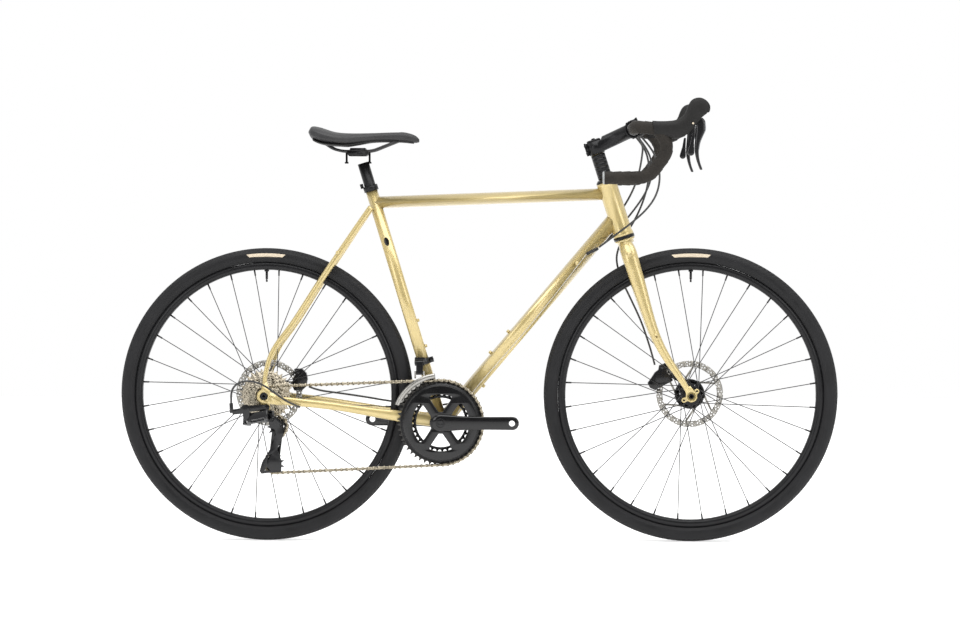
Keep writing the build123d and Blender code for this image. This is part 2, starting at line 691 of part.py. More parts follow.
def build_cranks():
    big = toothed(big_ring_teeth, valley_phase(bracket, big_ring_teeth)) - Circle(73)
    for angle in spider_angles:
        tab = link_shape((76, 0), 9, (55, 0), 7.5) - Circle(48)
        big = big + Rot(0, 0, angle) * tab
    big = big & Circle(120)
    small = toothed(small_ring_teeth, 3.0) - Circle(59)
    for angle in spider_angles:
        small = small + Rot(0, 0, angle) * link_shape((62, 0), 7, (55, 0), 6.5)
    for angle in spider_angles:
        big = big - Rot(0, 0, angle) * Pos(55, 0) * Circle(4.4)
        small = small - Rot(0, 0, angle) * Pos(55, 0) * Circle(4.4)
    big_plate = sprocket_plate(big, bracket, big_ring_y, 1.8)
    tooth_relief = cross_pin(bracket[0], bracket[2], big_ring_y + 0.5, big_ring_y + 2, 125, 97)
    big_plate = big_plate - tooth_relief
    cover = Circle(94.5) - Circle(73.2)
    cover_plate = sprocket_plate(cover, bracket, big_ring_y - 1.5, 1.2)
    small_plate = sprocket_plate(small, bracket, small_ring_y, 1.8)
    solids = [big_plate, cover_plate, small_plate]
    for angle in spider_angles:
        x = bracket[0] + 55 * math.cos(math.radians(angle))
        z = bracket[2] + 55 * math.sin(math.radians(angle))
        solids.append(cross_pin(x, z, -48.9, -38.2, 4.3))
        solids.append(cross_pin(x, z, -46.1, -40.9, 6.0, 4.3))
    save("chainrings", *solids)

    bx, _, bz = bracket
    end_x = bx + crank_length
    arm_side = link_shape((bx, bz), 21, (end_x, bz), 16.2)
    arm_top = outline((bx - 23, -49), (bx - 23, -62), (bx + 20, -66), (bx + 90, -69.5), (end_x + 20, -73),
                      (end_x + 20, -60), (bx + 92, -56), (bx + 60, -56), (bx + 40, -52), (bx + 24, -49))
    top_block = extrude(Plane(origin=(0, 0, bz - 40)) * arm_top, amount=80)
    arm = side_plate(arm_side, -75, -44) & top_block
    spider = Sketch()
    for angle in spider_angles:
        tip = (bx + 80 * math.cos(math.radians(angle)), bz + 80 * math.sin(math.radians(angle)))
        mid = (bx + 30 * math.cos(math.radians(angle)), bz + 30 * math.sin(math.radians(angle)))
        spider = spider + link_shape((bx, bz), 19, mid, 13) + link_shape(mid, 12, tip, 9.5)
    spider_solid = side_plate(spider, -56.5, -49.2)
    hub = cross_pin(bx, bz, -64.5, -44.5, 18.2)
    spindle_hole = cross_pin(bx, bz, -70, -57, 11.0)
    pedal_hole = cross_pin(end_x, bz, -80, -50, 7.14)
    arm = arm + hub + spider_solid - spindle_hole - pedal_hole
    spindle = cross_pin(bx, bz, -44.5, 66, 12.0, 10.5)
    save("crank_right", arm, spindle)

    far_x = bx - crank_length
    arm_side = link_shape((bx, bz), 20, (far_x, bz), 16.2)
    arm_top = outline((bx + 23, 46), (bx + 23, 62), (bx - 20, 66), (far_x - 20, 73), (far_x - 20, 60),
                      (bx - 60, 54), (bx - 24, 46))
    top_block = extrude(Plane(origin=(0, 0, bz - 40)) * arm_top, amount=80)
    left = side_plate(arm_side, 44, 75) & top_block
    left = left - cross_pin(bx, bz, 44, 66, 12.0) - cross_pin(far_x, bz, 50, 80, 7.14)
    bolts = []
    for shift in (-5, 5):
        bolt = rod((bx - 17, 55 + shift, bz - 24), (bx - 17, 55 + shift, bz + 24), 2.5)
        left = left - bolt
        bolts.append(bolt & side_plate(outline((bx - 40, bz - 17), (bx, bz - 17), (bx, bz + 17),
            (bx - 40, bz + 17)), 40, 80))
    cap = cross_pin(bx, bz, 66.05, 67.6, 9.0)
    save("crank_left", left, *bolts, cap)

    cups = []
    for side in (-1, 1):
        cup = turned((bx, side * shell_half, bz), (0, side, 0), (12.0 + running_gap, 0), (21.5, 0),
            (21.5, 7),
                     (19, 10.2), (12.0 + running_gap, 10.2))
        for index in range(16):
            notch = Rot(0, index * 22.5, 0) * Pos(21.7, 0, 0) * Rot(90, 0, 0) * Cylinder(1.6, 9)
            cup = cup - Pos(bx, side * (shell_half + 4.6), bz) * notch
        cups.append(cup)
    save("bottom_bracket_cups", *cups)


# Rear derailleur. The links lie in a slanted frame whose third axis is the pivots' axis.

slant = math.radians(30)
pivot_axis = Vector(0, math.sin(slant), math.cos(slant))
mech_x = -541.0
mech_origin = Vector(mech_x, -75.0, 296.0)
mech_plane = Plane(origin=mech_origin, x_dir=(1, 0, 0), z_dir=pivot_axis)
outer_pivot = (0.0, -9.0)
inner_pivot = (-2.0, 6.0)
link_vector = (42.0, -19.0)


def in_mech(shape):
    return mech_plane * shape


def slab(sketch, low, high):
    return extrude(Pos(0, 0, low) * sketch, amount=high - low)


def mech_link(pivot, half_height, width):
    far = (pivot[0] + link_vector[0], pivot[1] + link_vector[1])
    body = slab(link_shape(pivot, width, far, width), -half_height, half_height)
    for point in (pivot, far):
        body = body - slab(disc(*point, 2.0 + running_gap), -20, 20)
    return in_mech(body)


def lugs(points, reach_sketch, low, high):
    """Two slabs above and below the links, joined by the pins through the links."""
    solids = slab(reach_sketch, high, high + 2.6) + slab(reach_sketch, low - 2.6, low)
    for point in points:
        solids = solids + slab(disc(*point, 2.0), low - 1, high + 1)
    return solids


def link_room(pivot, turn_sign):
    """Space that a link sweeps about one of its pivots, as that pivot's part sees it."""
    reach_x = turn_sign * link_vector[0]
    reach_y = turn_sign * link_vector[1]
    room = Sketch()
    for step in range(10):
        angle = math.radians(step * 6 * turn_sign)
        far = (pivot[0] + reach_x * math.cos(angle) - reach_y * math.sin(angle),
               pivot[1] + reach_x * math.sin(angle) + reach_y * math.cos(angle))
        room = room + link_shape(pivot, 5.0, far, 5.0)
    return slab(room, -9.35, 9.35)


def build_rear_mech():
    gap = 9.4
    knuckle_lugs = lugs(
        (outer_pivot, inner_pivot),
        link_shape(outer_pivot, 5, inner_pivot, 5) + link_shape(inner_pivot, 5, (-11, 2), 6),
        -gap, gap,
    )
    knuckle_lugs = knuckle_lugs + slab(link_shape((-11.5, 6), 4.0, (-11.5, -6), 4.0), -gap, gap)
    body = cross_pin(-549.5, 321.5, -88, -78.3, 10.2)
    body = body + side_plate(link_shape((-549.5, 321.5), 9, (-548, 300), 7), -88, -79)
    hanger_link = side_plate(link_shape((-500, 325), 7, (-549.5, 321.5), 7.5), -83, -78.3)
    hanger_bolt = cross_pin(-500, 325, -85, -83, 5.0)
    rooms = in_mech(link_room(outer_pivot, 1) + link_room(inner_pivot, 1))
    pins_through = in_mech(slab(disc(*outer_pivot, 2.0) + disc(*inner_pivot, 2.0), -10, 10))
    knuckle = (in_mech(knuckle_lugs) + body) - rooms + hanger_link + hanger_bolt + pins_through
    barrel = rod((-583.5, -84, 312), (-584.5, -84, 335), 4.4, 2.0)
    arm = side_plate(link_shape((-583, 314), 6, (-556, 317), 6.5), -87.5, -80.5)
    knuckle = knuckle + (arm - rod((-583.3, -84, 300), (-584.5, -84, 335), 4.4)) + barrel
    save("rd_knuckle", max_solid(knuckle))
    save("rd_outer_link", mech_link(outer_pivot, 9.1, 4.2))
    save("rd_inner_link", mech_link(inner_pivot, 9.1, 3.8))

    far_outer = (outer_pivot[0] + link_vector[0], outer_pivot[1] + link_vector[1])
    far_inner = (inner_pivot[0] + link_vector[0], inner_pivot[1] + link_vector[1])
    far_reach = (far_outer[0] + 12, far_outer[1] + 9)
    p_lugs = lugs(
        (far_outer, far_inner),
        link_shape(far_outer, 5, far_inner, 5) + link_shape(far_inner, 5, far_reach, 6),
        -gap, gap,
    )
    p_lugs = p_lugs + slab(link_shape((far_reach[0] + 3, far_reach[1] - 6), 3.2,
                                      (far_reach[0] + 3, far_reach[1] + 2), 3.2), -gap, gap)
    drum = cross_pin(-480, 288, -88, -71.2, 14.5)
    nose = side_plate(link_shape((-480, 288), 12, (-490, 304), 8), -92, -78)
    pivot_pin = cross_pin(-480, 288, -73, -66.9, 5.0)
    rooms = in_mech(link_room(far_outer, -1) + link_room(far_inner, -1))
    pins_through = in_mech(slab(disc(*far_outer, 2.0) + disc(*far_inner, 2.0), -10, 10))
    lower_knuckle = (in_mech(p_lugs) + drum + nose) - rooms + pins_through + pivot_pin
    save("rd_lower_knuckle", max_solid(lower_knuckle))

    gx, gz = guide_centre[0], guide_centre[2]
    tx, tz = tension_centre[0], tension_centre[2]
    outer_shape = link_shape((-480, 288), 11, (gx, gz), 10) + link_shape((gx, gz), 9, (-470, 262), 9)
    outer_shape = outer_shape + link_shape((-470, 262), 9, (tx + 1, 222), 7)
    outer_shape = outer_shape + outline((tx - 7, 226), (tx + 9, 226), (tx + 20, 196), (tx + 19, 172),
        (-514, 166),
                                        (-519, 172), (-513, 193))
    outer_shape = outer_shape - outline((tx - 4, 214), (tx - 9, 202), (tx - 15, 197), (tx - 11, 210))
    outer_shape = outer_shape - outline((tx - 17, 183), (tx - 20, 174), (tx - 8, 173), (tx - 10, 178))
    pivot_hole = disc(-480, 288, 5.0 + running_gap)
    outer_plate = side_plate(outer_shape - pivot_hole, -70.6, -68.4)
    inner_shape = link_shape((gx, gz), 13, (tx, tz), 13) - disc((gx + tx) / 2, (gz + tz) / 2, 8)
    inner_plate = side_plate(inner_shape, -59.2, -57.6)
    cage = outer_plate + inner_plate
    for x, z in ((gx, gz), (tx, tz)):
        cage = cage + cross_pin(x, z, -70, -58, 3.0)
    save("rd_cage", cage)
    for name, centre in (("guide_pulley", guide_centre), ("tension_pulley", tension_centre)):
        sketch = toothed(pulley_teeth, valley_phase(centre, pulley_teeth)) - Circle(3.0 + running_gap)
        for hole in range(5):
            sketch = sketch - Rot(0, 0, hole * 72) * Pos(12.0, 0) * Circle(3.2)
        save(name, sprocket_plate(sketch, centre, top_cog_y, 1.8))


# Front derailleur

def ring_sector(r_in, r_out, a0, a1, y0, y1):
    wedge = [bracket[0::2]]
    for step in range(9):
        angle = math.radians(a0 + (a1 - a0) * step / 8)
        wedge.append((bracket[0] + 160 * math.cos(angle), bracket[2] + 160 * math.sin(angle)))
    sector = (disc(bracket[0], bracket[2], r_out) - disc(bracket[0], bracket[2], r_in)) & outline(*wedge)
    return side_plate(sector, y0, y1)


def build_front_mech():
    pivot_y, pivot_z = -38.0, 430.0
    lower_y, lower_z = pivot_y - 4.0, pivot_z - 25.0
    x_low, x_high = -147.0, -131.0
    band_at = on_seat(149)
    band = rod(band_at - seat_dir * 7, band_at + seat_dir * 7, 17.4, seat_tube_r)
    ear = Plane(origin=band_at + Vector(19.5, 0, 6), z_dir=seat_dir) * Box(9, 13, 13)
    ear = ear - rod(on_seat(120), on_seat(180), 17.4)
    screw_at = band_at + Vector(20.5, 0, 6)
    screw = rod(screw_at + Vector(0, -9, 0), screw_at + Vector(0, 9, 0), 4.2)
    screw = screw - Plane(origin=band_at + Vector(19.5, 0, 6), z_dir=seat_dir) * Box(9, 13, 13)
    block = Pos(-139, -29, 432) * Box(23.4, 9, 20)
    block = block + Pos(-139, -22, 431) * Box(18, 14, 13)
    block = block - rod(on_seat(110), on_seat(190), 17.4)
    lug = extrude(Plane(origin=(x_low - 4, 0, 0), x_dir=(0, 1, 0), z_dir=(1, 0, 0))
                  * link_shape((pivot_y, pivot_z), 4.6, (-29, 434), 5), amount=3.7)
    body = block + lug + Pos(19.9 + 0.4, 0, 0) * lug
    body = body + rod((x_low - 3, pivot_y, pivot_z), (x_high + 3, pivot_y, pivot_z), 1.5)
    clearance = extrude(Plane(origin=(x_low - 0.3, 0, 0), x_dir=(0, 1, 0), z_dir=(1, 0, 0))
                        * link_shape((pivot_y, pivot_z), 5.2, (pivot_y, lower_z), 9),
                        amount=x_high - x_low + 0.6)
    clearance = clearance - rod((x_low - 3, pivot_y, pivot_z), (x_high + 3, pivot_y, pivot_z), 1.5)
    body = max_solid(body - clearance)
    save("front_mech_body", max_solid(band), max_solid(ear), *screw.solids(), body)

    bar_sketch = link_shape((pivot_y, pivot_z), 4.4, (lower_y, lower_z), 4.4)
    for y, z in ((pivot_y, pivot_z), (lower_y, lower_z)):
        bar_sketch = bar_sketch - disc(y, z, 1.5 + running_gap)
    link = extrude(Plane(origin=(x_low, 0, 0), x_dir=(0, 1, 0), z_dir=(1, 0, 0)) * bar_sketch,
        amount=x_high - x_low)
    save("fd_link", link)

    outer_plate = ring_sector(107, 118, 97, 158, -54.0, -52.8)
    inner_plate = ring_sector(93, 118, 97, 156, -42.0, -40.8)
    bridge = ring_sector(115.6, 118, 97, 111, -54.0, -40.8)
    tail = ring_sector(107.5, 112, 153.5, 156, -54.0, -40.8)
    cage = outer_plate + inner_plate + bridge + tail
    for x in (x_low - 4, x_high + 0.3):
        lug = extrude(Plane(origin=(x, 0, 0), x_dir=(0, 1, 0), z_dir=(1, 0, 0))
                      * link_shape((lower_y, lower_z), 4.6, (lower_y - 1, 397), 4.6), amount=3.7)
        cage = cage + lug
    cage = cage + rod((x_low - 3, lower_y, lower_z), (x_high + 3, lower_y, lower_z), 1.5)
    save("fd_cage", cage)


# Fork and steering

def build_fork():
    steerer = rod(on_head(-9), on_head(236), steerer_r, 12.0)
    race = turned(on_head(-8.0), head_dir * -1, (12.5, 0), (24.6, 0), (24.6, 3), (20, 6), (20, 12),
        (12.5, 12))
    blade = tapered([
        ((352.5, 9, 711), 13.0, 16.5),
        ((354.5, 22, 704), 13.6, 18.4),
        ((359.5, 38, 690), 12.8, 18.6),
        ((368, 44.5, 662), 12.0, 18.0),
        ((381, 46.5, 620), 11.2, 17.0),
        ((402, 48.5, 552), 10.4, 13.6),
        ((424, 50.0, 490), 9.4, 11.4),
        ((458, 51.5, 428), 7.8, 9.4),
        ((484, 52.8, 390), 6.4, 7.6),
        ((499.0, 53.4, 365), 3.4, 6.4),
    ])
    bore = rod((front_axle[0], -60, axle_height), (front_axle[0], 60, axle_height), axle_r)
    recess = rod((front_axle[0], -60, axle_height), (front_axle[0], -55.0, axle_height), 10.8)
    ends = []
    for side in (-1, 1):
        ring = disc(front_axle[0], axle_height, 13.4)
        neck = outline((492, 372), (505, 376), (516, 361), (500, 345), (495, 352))
        eyelets = link_shape((front_axle[0], axle_height), 7, (520.4, 363.6), 5.6)
        eyelets = eyelets + link_shape((front_axle[0], axle_height), 6, (489.6, 342), 5.6)
        y0, y1 = (50.2, 57.0) if side > 0 else (-57.0, -50.2)
        plate = side_plate(ring + neck, y0, y1)
        thin = side_plate(eyelets, side * 53.6 - 2.4, side * 53.6 + 2.4)
        plate = plate + thin - bore
        for x, z in ((520.4, 363.6), (489.6, 342)):
            plate = plate - cross_pin(x, z, side * 53.6 - 10, side * 53.6 + 10, 2.5)
        if side < 0:
            plate = plate - recess
        ends.append(plate)
    blades = both_sides(blade)
    fork = race + blades[0] + blades[1]
    channel = rod(on_head(-40), on_head(60), 12.0)
    fork = fork - channel
    fork = fork + steerer
    for side in (-1, 1):
        fork = fork - side_plate(disc(front_axle[0], axle_height, 13.4), *sorted((side * 50.2,
            side * 57.0)))
    for end in ends:
        fork = fork + end
    crown_boss = rod((358.5, -53.5, 688), (358.5, -46, 688), 4.4)
    fork = fork + rod((424, -62, 493), (424, -50, 493), 4.6) + crown_boss
    fork = fork - bore - rod((424, -70, 493), (424, -56, 493), 2.5)
    fork = max_solid(fork)
    save("fork", fork)
    return fork


def build_headset():
    upper = turned(on_head(head_length), head_dir, (steerer_r + running_gap, -10), (head_bore_r, -10),
        (head_bore_r, 0),
                   (24.5, 0), (24.5, 3), (20, 8.4), (steerer_r + running_gap, 8.4))
    lower = turned(on_head(0), head_dir * -1, (steerer_r + running_gap, -10), (head_bore_r, -10),
        (head_bore_r, 0),
                   (25.4, 0), (25.4, 7.4), (steerer_r + running_gap, 7.4))
    save("headset_cups", upper, lower)
    spacers = []
    start = head_length + 9.0
    for index in range(6):
        low = start + index * 10.2
        spacers.append(rod(on_head(low), on_head(low + 10.0), 17.0, steerer_r))
    cap = turned(on_head(236.4), head_dir, (0, 0), (17.0, 0), (17.0, 2.4), (14.5, 4.4), (0, 4.4))
    bolt = turned(on_head(240.8), head_dir, (0, 0), (4.4, 0), (4.4, 2.0), (3.0, 3.0), (0, 3.0))
    save("headset_spacers", *spacers, cap, bolt)


def build_stem():
    clamp_low = on_head(205.0)
    clamp_high = on_head(236.0)
    clamp_mid = on_head(222.0)
    body = rod(clamp_low, clamp_high, 18.6)
    face_dir = (Vector(*bar_centre) - clamp_mid).normalized()
    body = body + rod(clamp_mid, Vector(*bar_centre) - face_dir * 12, 17.0)
    front = cross_pin(bar_centre[0], bar_centre[2], -23, 23, 22.0)
    back_half = Plane(origin=bar_centre, z_dir=face_dir) * Pos(0, 0, -31) * Box(80, 80, 60)
    front_half = Plane(origin=bar_centre, z_dir=face_dir) * Pos(0, 0, 31) * Box(80, 80, 60)
    body = body + (front & back_half)
    ear_dir = Vector(-head_dir.Z, 0, head_dir.X)
    ear = Plane(origin=clamp_mid + ear_dir * 19, x_dir=ear_dir, z_dir=head_dir) * Box(12, 15, 31)
    body = body + ear
    slot = Plane(origin=clamp_mid + ear_dir * 22, x_dir=ear_dir, z_dir=head_dir) * Box(22, 1.6, 60)
    body = body - slot
    body = body - rod(on_head(190), on_head(250), steerer_r)
    body = body - rod(on_head(236), on_head(260), 22) - rod(on_head(180), on_head(204.6), 17.4)
    body = body - cross_pin(bar_centre[0], bar_centre[2], -40, 40, 15.9)
    bolts = []
    for shift in (-9, 9):
        centre = clamp_mid + ear_dir * 22.5 + head_dir * shift
        bolt = rod(centre + Vector(0, -11, 0), centre + Vector(0, 11, 0), 3.6)
        body = body - bolt
        bolts.append(bolt)
    plate = (front & front_half) - cross_pin(bar_centre[0], bar_centre[2], -40, 40, 15.9)
    for side in (-1, 1):
        for high in (-1, 1):
            offset = Vector(-face_dir.Z, 0, face_dir.X) * (high * 18.6) + Vector(0, side * 16, 0)
            start = Vector(*bar_centre) + offset + face_dir * 1.2
            bolt = rod(start - face_dir * 12, start + face_dir * 15, 2.5)
            head = rod(start + face_dir * 12.5, start + face_dir * 16.5, 4.2)
            plate = plate - bolt - head
            body = body - bolt
            bolts.append(bolt + head)
    save("stem", max_solid(body), max_solid(plate), *bolts)


drop_route = [
    (370, bar_half_width, 985.5),
    (419, bar_half_width, 981.5),
    (451, bar_half_width, 938),
    (400, bar_half_width, 868.5),
    (297.4, bar_half_width, 867.5),
]


def bar_path(side, start_y):
    points = [(370, side * start_y, 985.5)]
    points += [(x, side * y, z) for x, y, z in drop_route]
    return points


def bar_sweep(side, start_y, radius, bore):
    corners = [Vector(*p) for p in bar_path(side, start_y)]
    path = FilletPolyline(*corners, radius=[34, 26, 42, 46])
    section = Circle(radius) - Circle(bore)
    return sweep(Plane(origin=path @ 0, z_dir=path % 0) * section, path=path), path


def build_handlebar():
    centre = rod((370, -34, 985.5), (370, 34, 985.5), 15.9, 13.5)
    tapers = []
    for side in (-1, 1):
        tapers.append(turned((370, side * 34, 985.5), (0, side, 0), (13.5, 0), (15.9, 0), (15.9, 8),
            (bar_r, 30),
                             (bar_r, 36), (10.2, 36), (10.2, 30)))
    halves = []
    tapes = []
    plugs = []
    for side in (-1, 1):
        half, path = bar_sweep(side, 70, bar_r, 10.2)
        halves.append(half)
        tape, _ = bar_sweep(side, 71, tape_r, bar_r)
        tapes.append(tape)
        out = path % 1
        plug = turned(path @ 1, out, (0, -14), (10.15, -14), (10.15, 0), (tape_r, 0), (tape_r, 2.0),
            (12.5, 4.0),
                      (0, 4.0))
        plugs.append(plug)
    bar = centre
    for piece in tapers + halves:
        bar = bar + piece
    save("handlebar", bar)
    save("bar_tape", *tapes)
    save("bar_plugs", *plugs)


lever_pivot = (515.0, 1001.0)


def lever_outline():
    return outline((510, 992), (508, 973), (505, 940), (508, 917), (514, 897), (519, 886), (524.5, 886),
                   (521, 900), (515.5, 917), (515.5, 940), (521, 960), (530, 978), (528.5, 1000), (520,
                   1004))


def build_levers():
    hood_side = smooth_outline(
        (414, 992), (436, 998), (461, 1000), (479, 1010), (488, 1030), (498, 1046), (511, 1052.5),
        (524, 1051),
        (534, 1044), (540, 1030), (541.5, 1020), (533, 1013), (524, 1008), (509, 984), (497, 972),
        (474, 962),
        (454, 955), (438, 966), (424, 982),
    )
    width = 33.0
    for word, side in (("right", -1), ("left", 1)):
        y = side * bar_half_width
        lever = side_plate(lever_outline() + disc(lever_pivot[0], lever_pivot[1], 7.0), y - 6, y + 6)
        lever = lever - cross_pin(*lever_pivot, y - 10, y + 10, 2.5 + running_gap)
        save(f"{word}_brake_lever", lever)
        paddle_shape = link_shape((502.0, 968), 2.6, (499.5, 944), 4.2) + link_shape((499.5, 943), 5,
            (497, 926), 7.4)
        paddle_shape = paddle_shape - outline((507.0, 975), (503.8, 940), (507, 912), (520, 912), (520,
            975))
        paddle = side_plate(paddle_shape, y - 5, y + 5)
        save(f"{word}_shift_paddle", max_solid(paddle))
    hoods = []
    for side in (-1, 1):
        y = side * bar_half_width
        hood = side_plate(hood_side, y - width / 2, y + width / 2)
        crown = extrude(Plane(origin=(0, 0, 940)) * smooth_outline(
            (405, y), (420, y + 13), (460, y + 16.5), (510, y + 16), (540, y + 10), (545, y), (540, y - 10),
            (510, y - 16), (460, y - 16.5), (420, y - 13)), amount=130)
        hood = hood & crown
        slot = side_plate(disc(*lever_pivot, 24) + outline((491, 1001), (539, 1001), (548, 1020), (548,
            880),
                                                           (456, 880)), y - 6.6, y + 6.6)
        hood = hood - slot
        solid_bar, _ = bar_sweep(side, 71, tape_r + 0.02, 0.01)
        hood = max_solid(hood - solid_bar)
        pin = cross_pin(*lever_pivot, y - 11, y + 11, 2.5)
        hood = hood - pin
        hoods.append(hood)
        hoods.append(pin)
    save("lever_hoods", *hoods)


# Brake calipers

def caliper(shape, y0, y1, axle, disc_y):
    body = side_plate(shape, y0, y1)
    slot = cross_pin(axle[0], axle[2], disc_y - 1.7, disc_y + 1.7, 82.0)
    return body - slot


def build_calipers(fork):
    front = outline((446, 424), (434, 420), (432, 409), (424, 403), (412, 385), (406, 377), (412, 366),
        (425, 360),
                    (436, 368), (460, 379), (468, 384), (462, 392), (452, 404), corner=2.5)
    body = caliper(front, 31, 50, front_axle, 39.0)
    bolts = []
    for x, z in ((441, 417), (414, 374)):
        bolts.append(cross_pin(x, z, 24.0, 31.0, 5.0))
    mount = side_plate(outline((446, 404), (458, 392), (480, 380), (474, 402), (460, 428), (446, 424)),
        50, 56)
    mount = max_solid(mount - fork)
    body = body - fork
    save("front_caliper", max_solid(body), mount, *bolts)
    rear = outline((-447, 410), (-428, 410), (-417, 399), (-414, 384), (-418, 366), (-428, 357), (-446,
        357),
                   (-453, 371), (-449, 386), (-444, 396), corner=2.5)
    body = caliper(rear, 43, 62, rear_axle, 52.5)
    bolts = []
    for x, z in ((-437, 402), (-440, 364)):
        bolts.append(cross_pin(x, z, 36.5, 43.0, 5.0))
    save("rear_caliper", max_solid(body), *bolts)


# Cables and hoses

housing_r = 2.4
wire_r = 0.8

bar_loops = [
    # rear brake hose, from the right end of the bar to the left side of the down tube
    [(378, -66, 968), (392, -55, 950), (389, -38, 915), (383, -14, 880), (372, 12, 845), (352, 31, 806),
     (328, 37, 775), (302, 32, 750)],
    # right gear loop, to the adjuster on the right of the down tube
    [(384, -84, 968), (410, -82, 940), (426, -74, 905), (432, -64, 868), (424, -54, 828), (400, -46, 793),
     (362, -40, 760), (323, -34, 731), (288.5, -28.6, 705)],
    # left gear loop, to the adjuster on the left of the down tube
    [(384, 84, 968), (408, 84, 938), (418, 78, 900), (414, 70, 862), (398, 61, 828), (374, 51, 794),
     (346, 42, 760), (317, 34, 729), (288.5, 28.6, 705)],
]

front_hose_route = [
    (378, 66, 968), (398, 62, 945), (410, 58, 905), (408, 54, 860), (396, 49, 815), (376, 43, 770),
    (352, 36, 733), (334, 40, 700), (330, 50, 668), (345, 58, 622), (368, 61, 575), (391, 61.5, 526),
    (407, 61, 480), (418, 58, 444), (424, 52, 420),
]

rear_hose_route = [
    (296, 30.5, 743), (270, 25, 716), (230, 22, 670), (160, 20, 588), (90, 20, 505), (30, 21, 434),
    (-20, 26, 375),
    (-52, 33, 336), (-80, 44, 322), (-140, 47, 324), (-205, 49, 330), (-285, 55, 343), (-345, 60, 351),
    (-392, 60, 357), (-412, 56, 366),
]

rear_loop_route = [
    (-420, -83, 326), (-444, -86, 335), (-471, -88, 353), (-499, -88, 374), (-522, -87, 385), (-548,
    -86, 389),
    (-569, -85, 383), (-582, -84, 369), (-585, -84, 352), (-584.4, -84, 335),
]


def build_cables():
    loops = [pipe(route, housing_r) for route in bar_loops]
    save("bar_cables", *loops)
    save("front_brake_hose", pipe(front_hose_route, housing_r))
    hose = pipe(rear_hose_route, housing_r)
    loop = pipe(rear_loop_route, housing_r)
    stop = turned((-419.6, -83, 325.8), (1, 0.35, 0.12), (0, 0), (4.0, 0), (4.0, 9), (2.6, 12), (0, 12))
    adjusters = []
    wires = []
    for side in (-1, 1):
        back = Vector(258, side * 30.4, 688.5)
        front = Vector(286, side * 28, 702)
        direction = front - back
        adjusters.append(turned(back, direction, (0, 0), (3.0, 0), (4.2, 4), (4.2,
            direction.length - 3), (3.2, direction.length),
                                (0, direction.length)))
        wires.append(pipe([back, Vector(150, side * 24, 545), Vector(-38, side * 20.5, 333),
                           Vector(-72, side * 15, 264), Vector(-96, side * 12, 264)], wire_r))
    save("frame_cables", hose, loop, stop, *adjusters, *wires)


# Seat

def build_seat():
    post = rod(on_seat(470), on_seat(640), 13.6, 11.4)
    crown = rod(on_seat(640), on_seat(646), 13.6)
    head = side_plate(link_shape((-303, 914), 6, (-272, 917), 6), -13, 13)
    post = post + crown + (head - rod(on_seat(560), on_seat(640), 11.4))
    post = max_solid(post)
    save("seatpost", post)
    rails = []
    for side in (-1, 1):
        rails.append(pipe([(-362, side * 30, 950), (-345, side * 26, 938.5), (-322, side * 22, 933),
            (-252, side * 22, 933.5),
                           (-226, side * 20, 944), (-190, side * 13, 958)], 3.5))
    save("saddle_rails", *rails)
    rail_hull = rails[0] + rails[1]
    lower = side_plate(outline((-307, 921.5), (-268, 921.5), (-262, 926), (-262, 933), (-312, 933),
        (-312, 926)), -28, 28)
    upper = side_plate(outline((-308, 933.2), (-266, 933.4), (-270, 941), (-304, 941)), -28, 28)
    bolts = []
    head_cut = side_plate(link_shape((-303, 914), 6, (-272, 917), 6), -13, 13)
    for x in (-315, -260):
        bolts.append(rod((x, 0, 908), (x, 0, 930), 2.5) + rod((x, 0, 904), (x, 0, 908), 4.5))
    lower = lower - rail_hull - bolts[0] - bolts[1]
    upper = upper - rail_hull
    lower = max_solid(lower - head_cut)
    save("saddle_clamp", max_solid(lower - post), max_solid(upper),
        *[max_solid(bolt - lower - post) for bolt in bolts])

    stations = [
        (-405, 44, 966, 990), (-392, 66, 958, 992), (-370, 72, 952, 989), (-335, 66, 951, 979), (-295,
        45, 953, 976.5),
        (-250, 27, 956, 977.5), (-205, 20, 957, 980), (-165, 17.5, 954, 977), (-143, 12, 953, 967),
    ]
    sections = []
    for x, half, low, high in stations:
        plane = Plane(origin=(x, 0, (low + high) / 2), x_dir=(0, 1, 0), z_dir=(1, 0, 0))
        sections.append(plane * RectangleRounded(2 * half, high - low, min(half, (high - low) / 2) * 0.86))
    cover = loft(sections)
    base_sections = []
    for x, half, low, high in stations[1:-1]:
        plane = Plane(origin=(x, 0, low + 1.0), x_dir=(0, 1, 0), z_dir=(1, 0, 0))
        base_sections.append(plane * Rectangle(2 * half - 14, 6))
    base = loft(base_sections)
    base = max_solid(base - rail_hull)
    cover = max_solid(cover - base - rail_hull)
    save("saddle_base", base)
    save("saddle_cover", cover)


build_main_tubes()
stays = build_rear_triangle()
build_fittings(stays)
build_seat_collar()
build_wheels()
build_chain()
build_cassette()
build_cranks()
build_rear_mech()
build_front_mech()
fork_solid = build_fork()
build_headset()
build_stem()
build_handlebar()
build_levers()
build_calipers(fork_solid)
build_cables()
build_seat()
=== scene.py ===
import json
import math

import bpy
import bmesh
from mathutils import Matrix, Vector


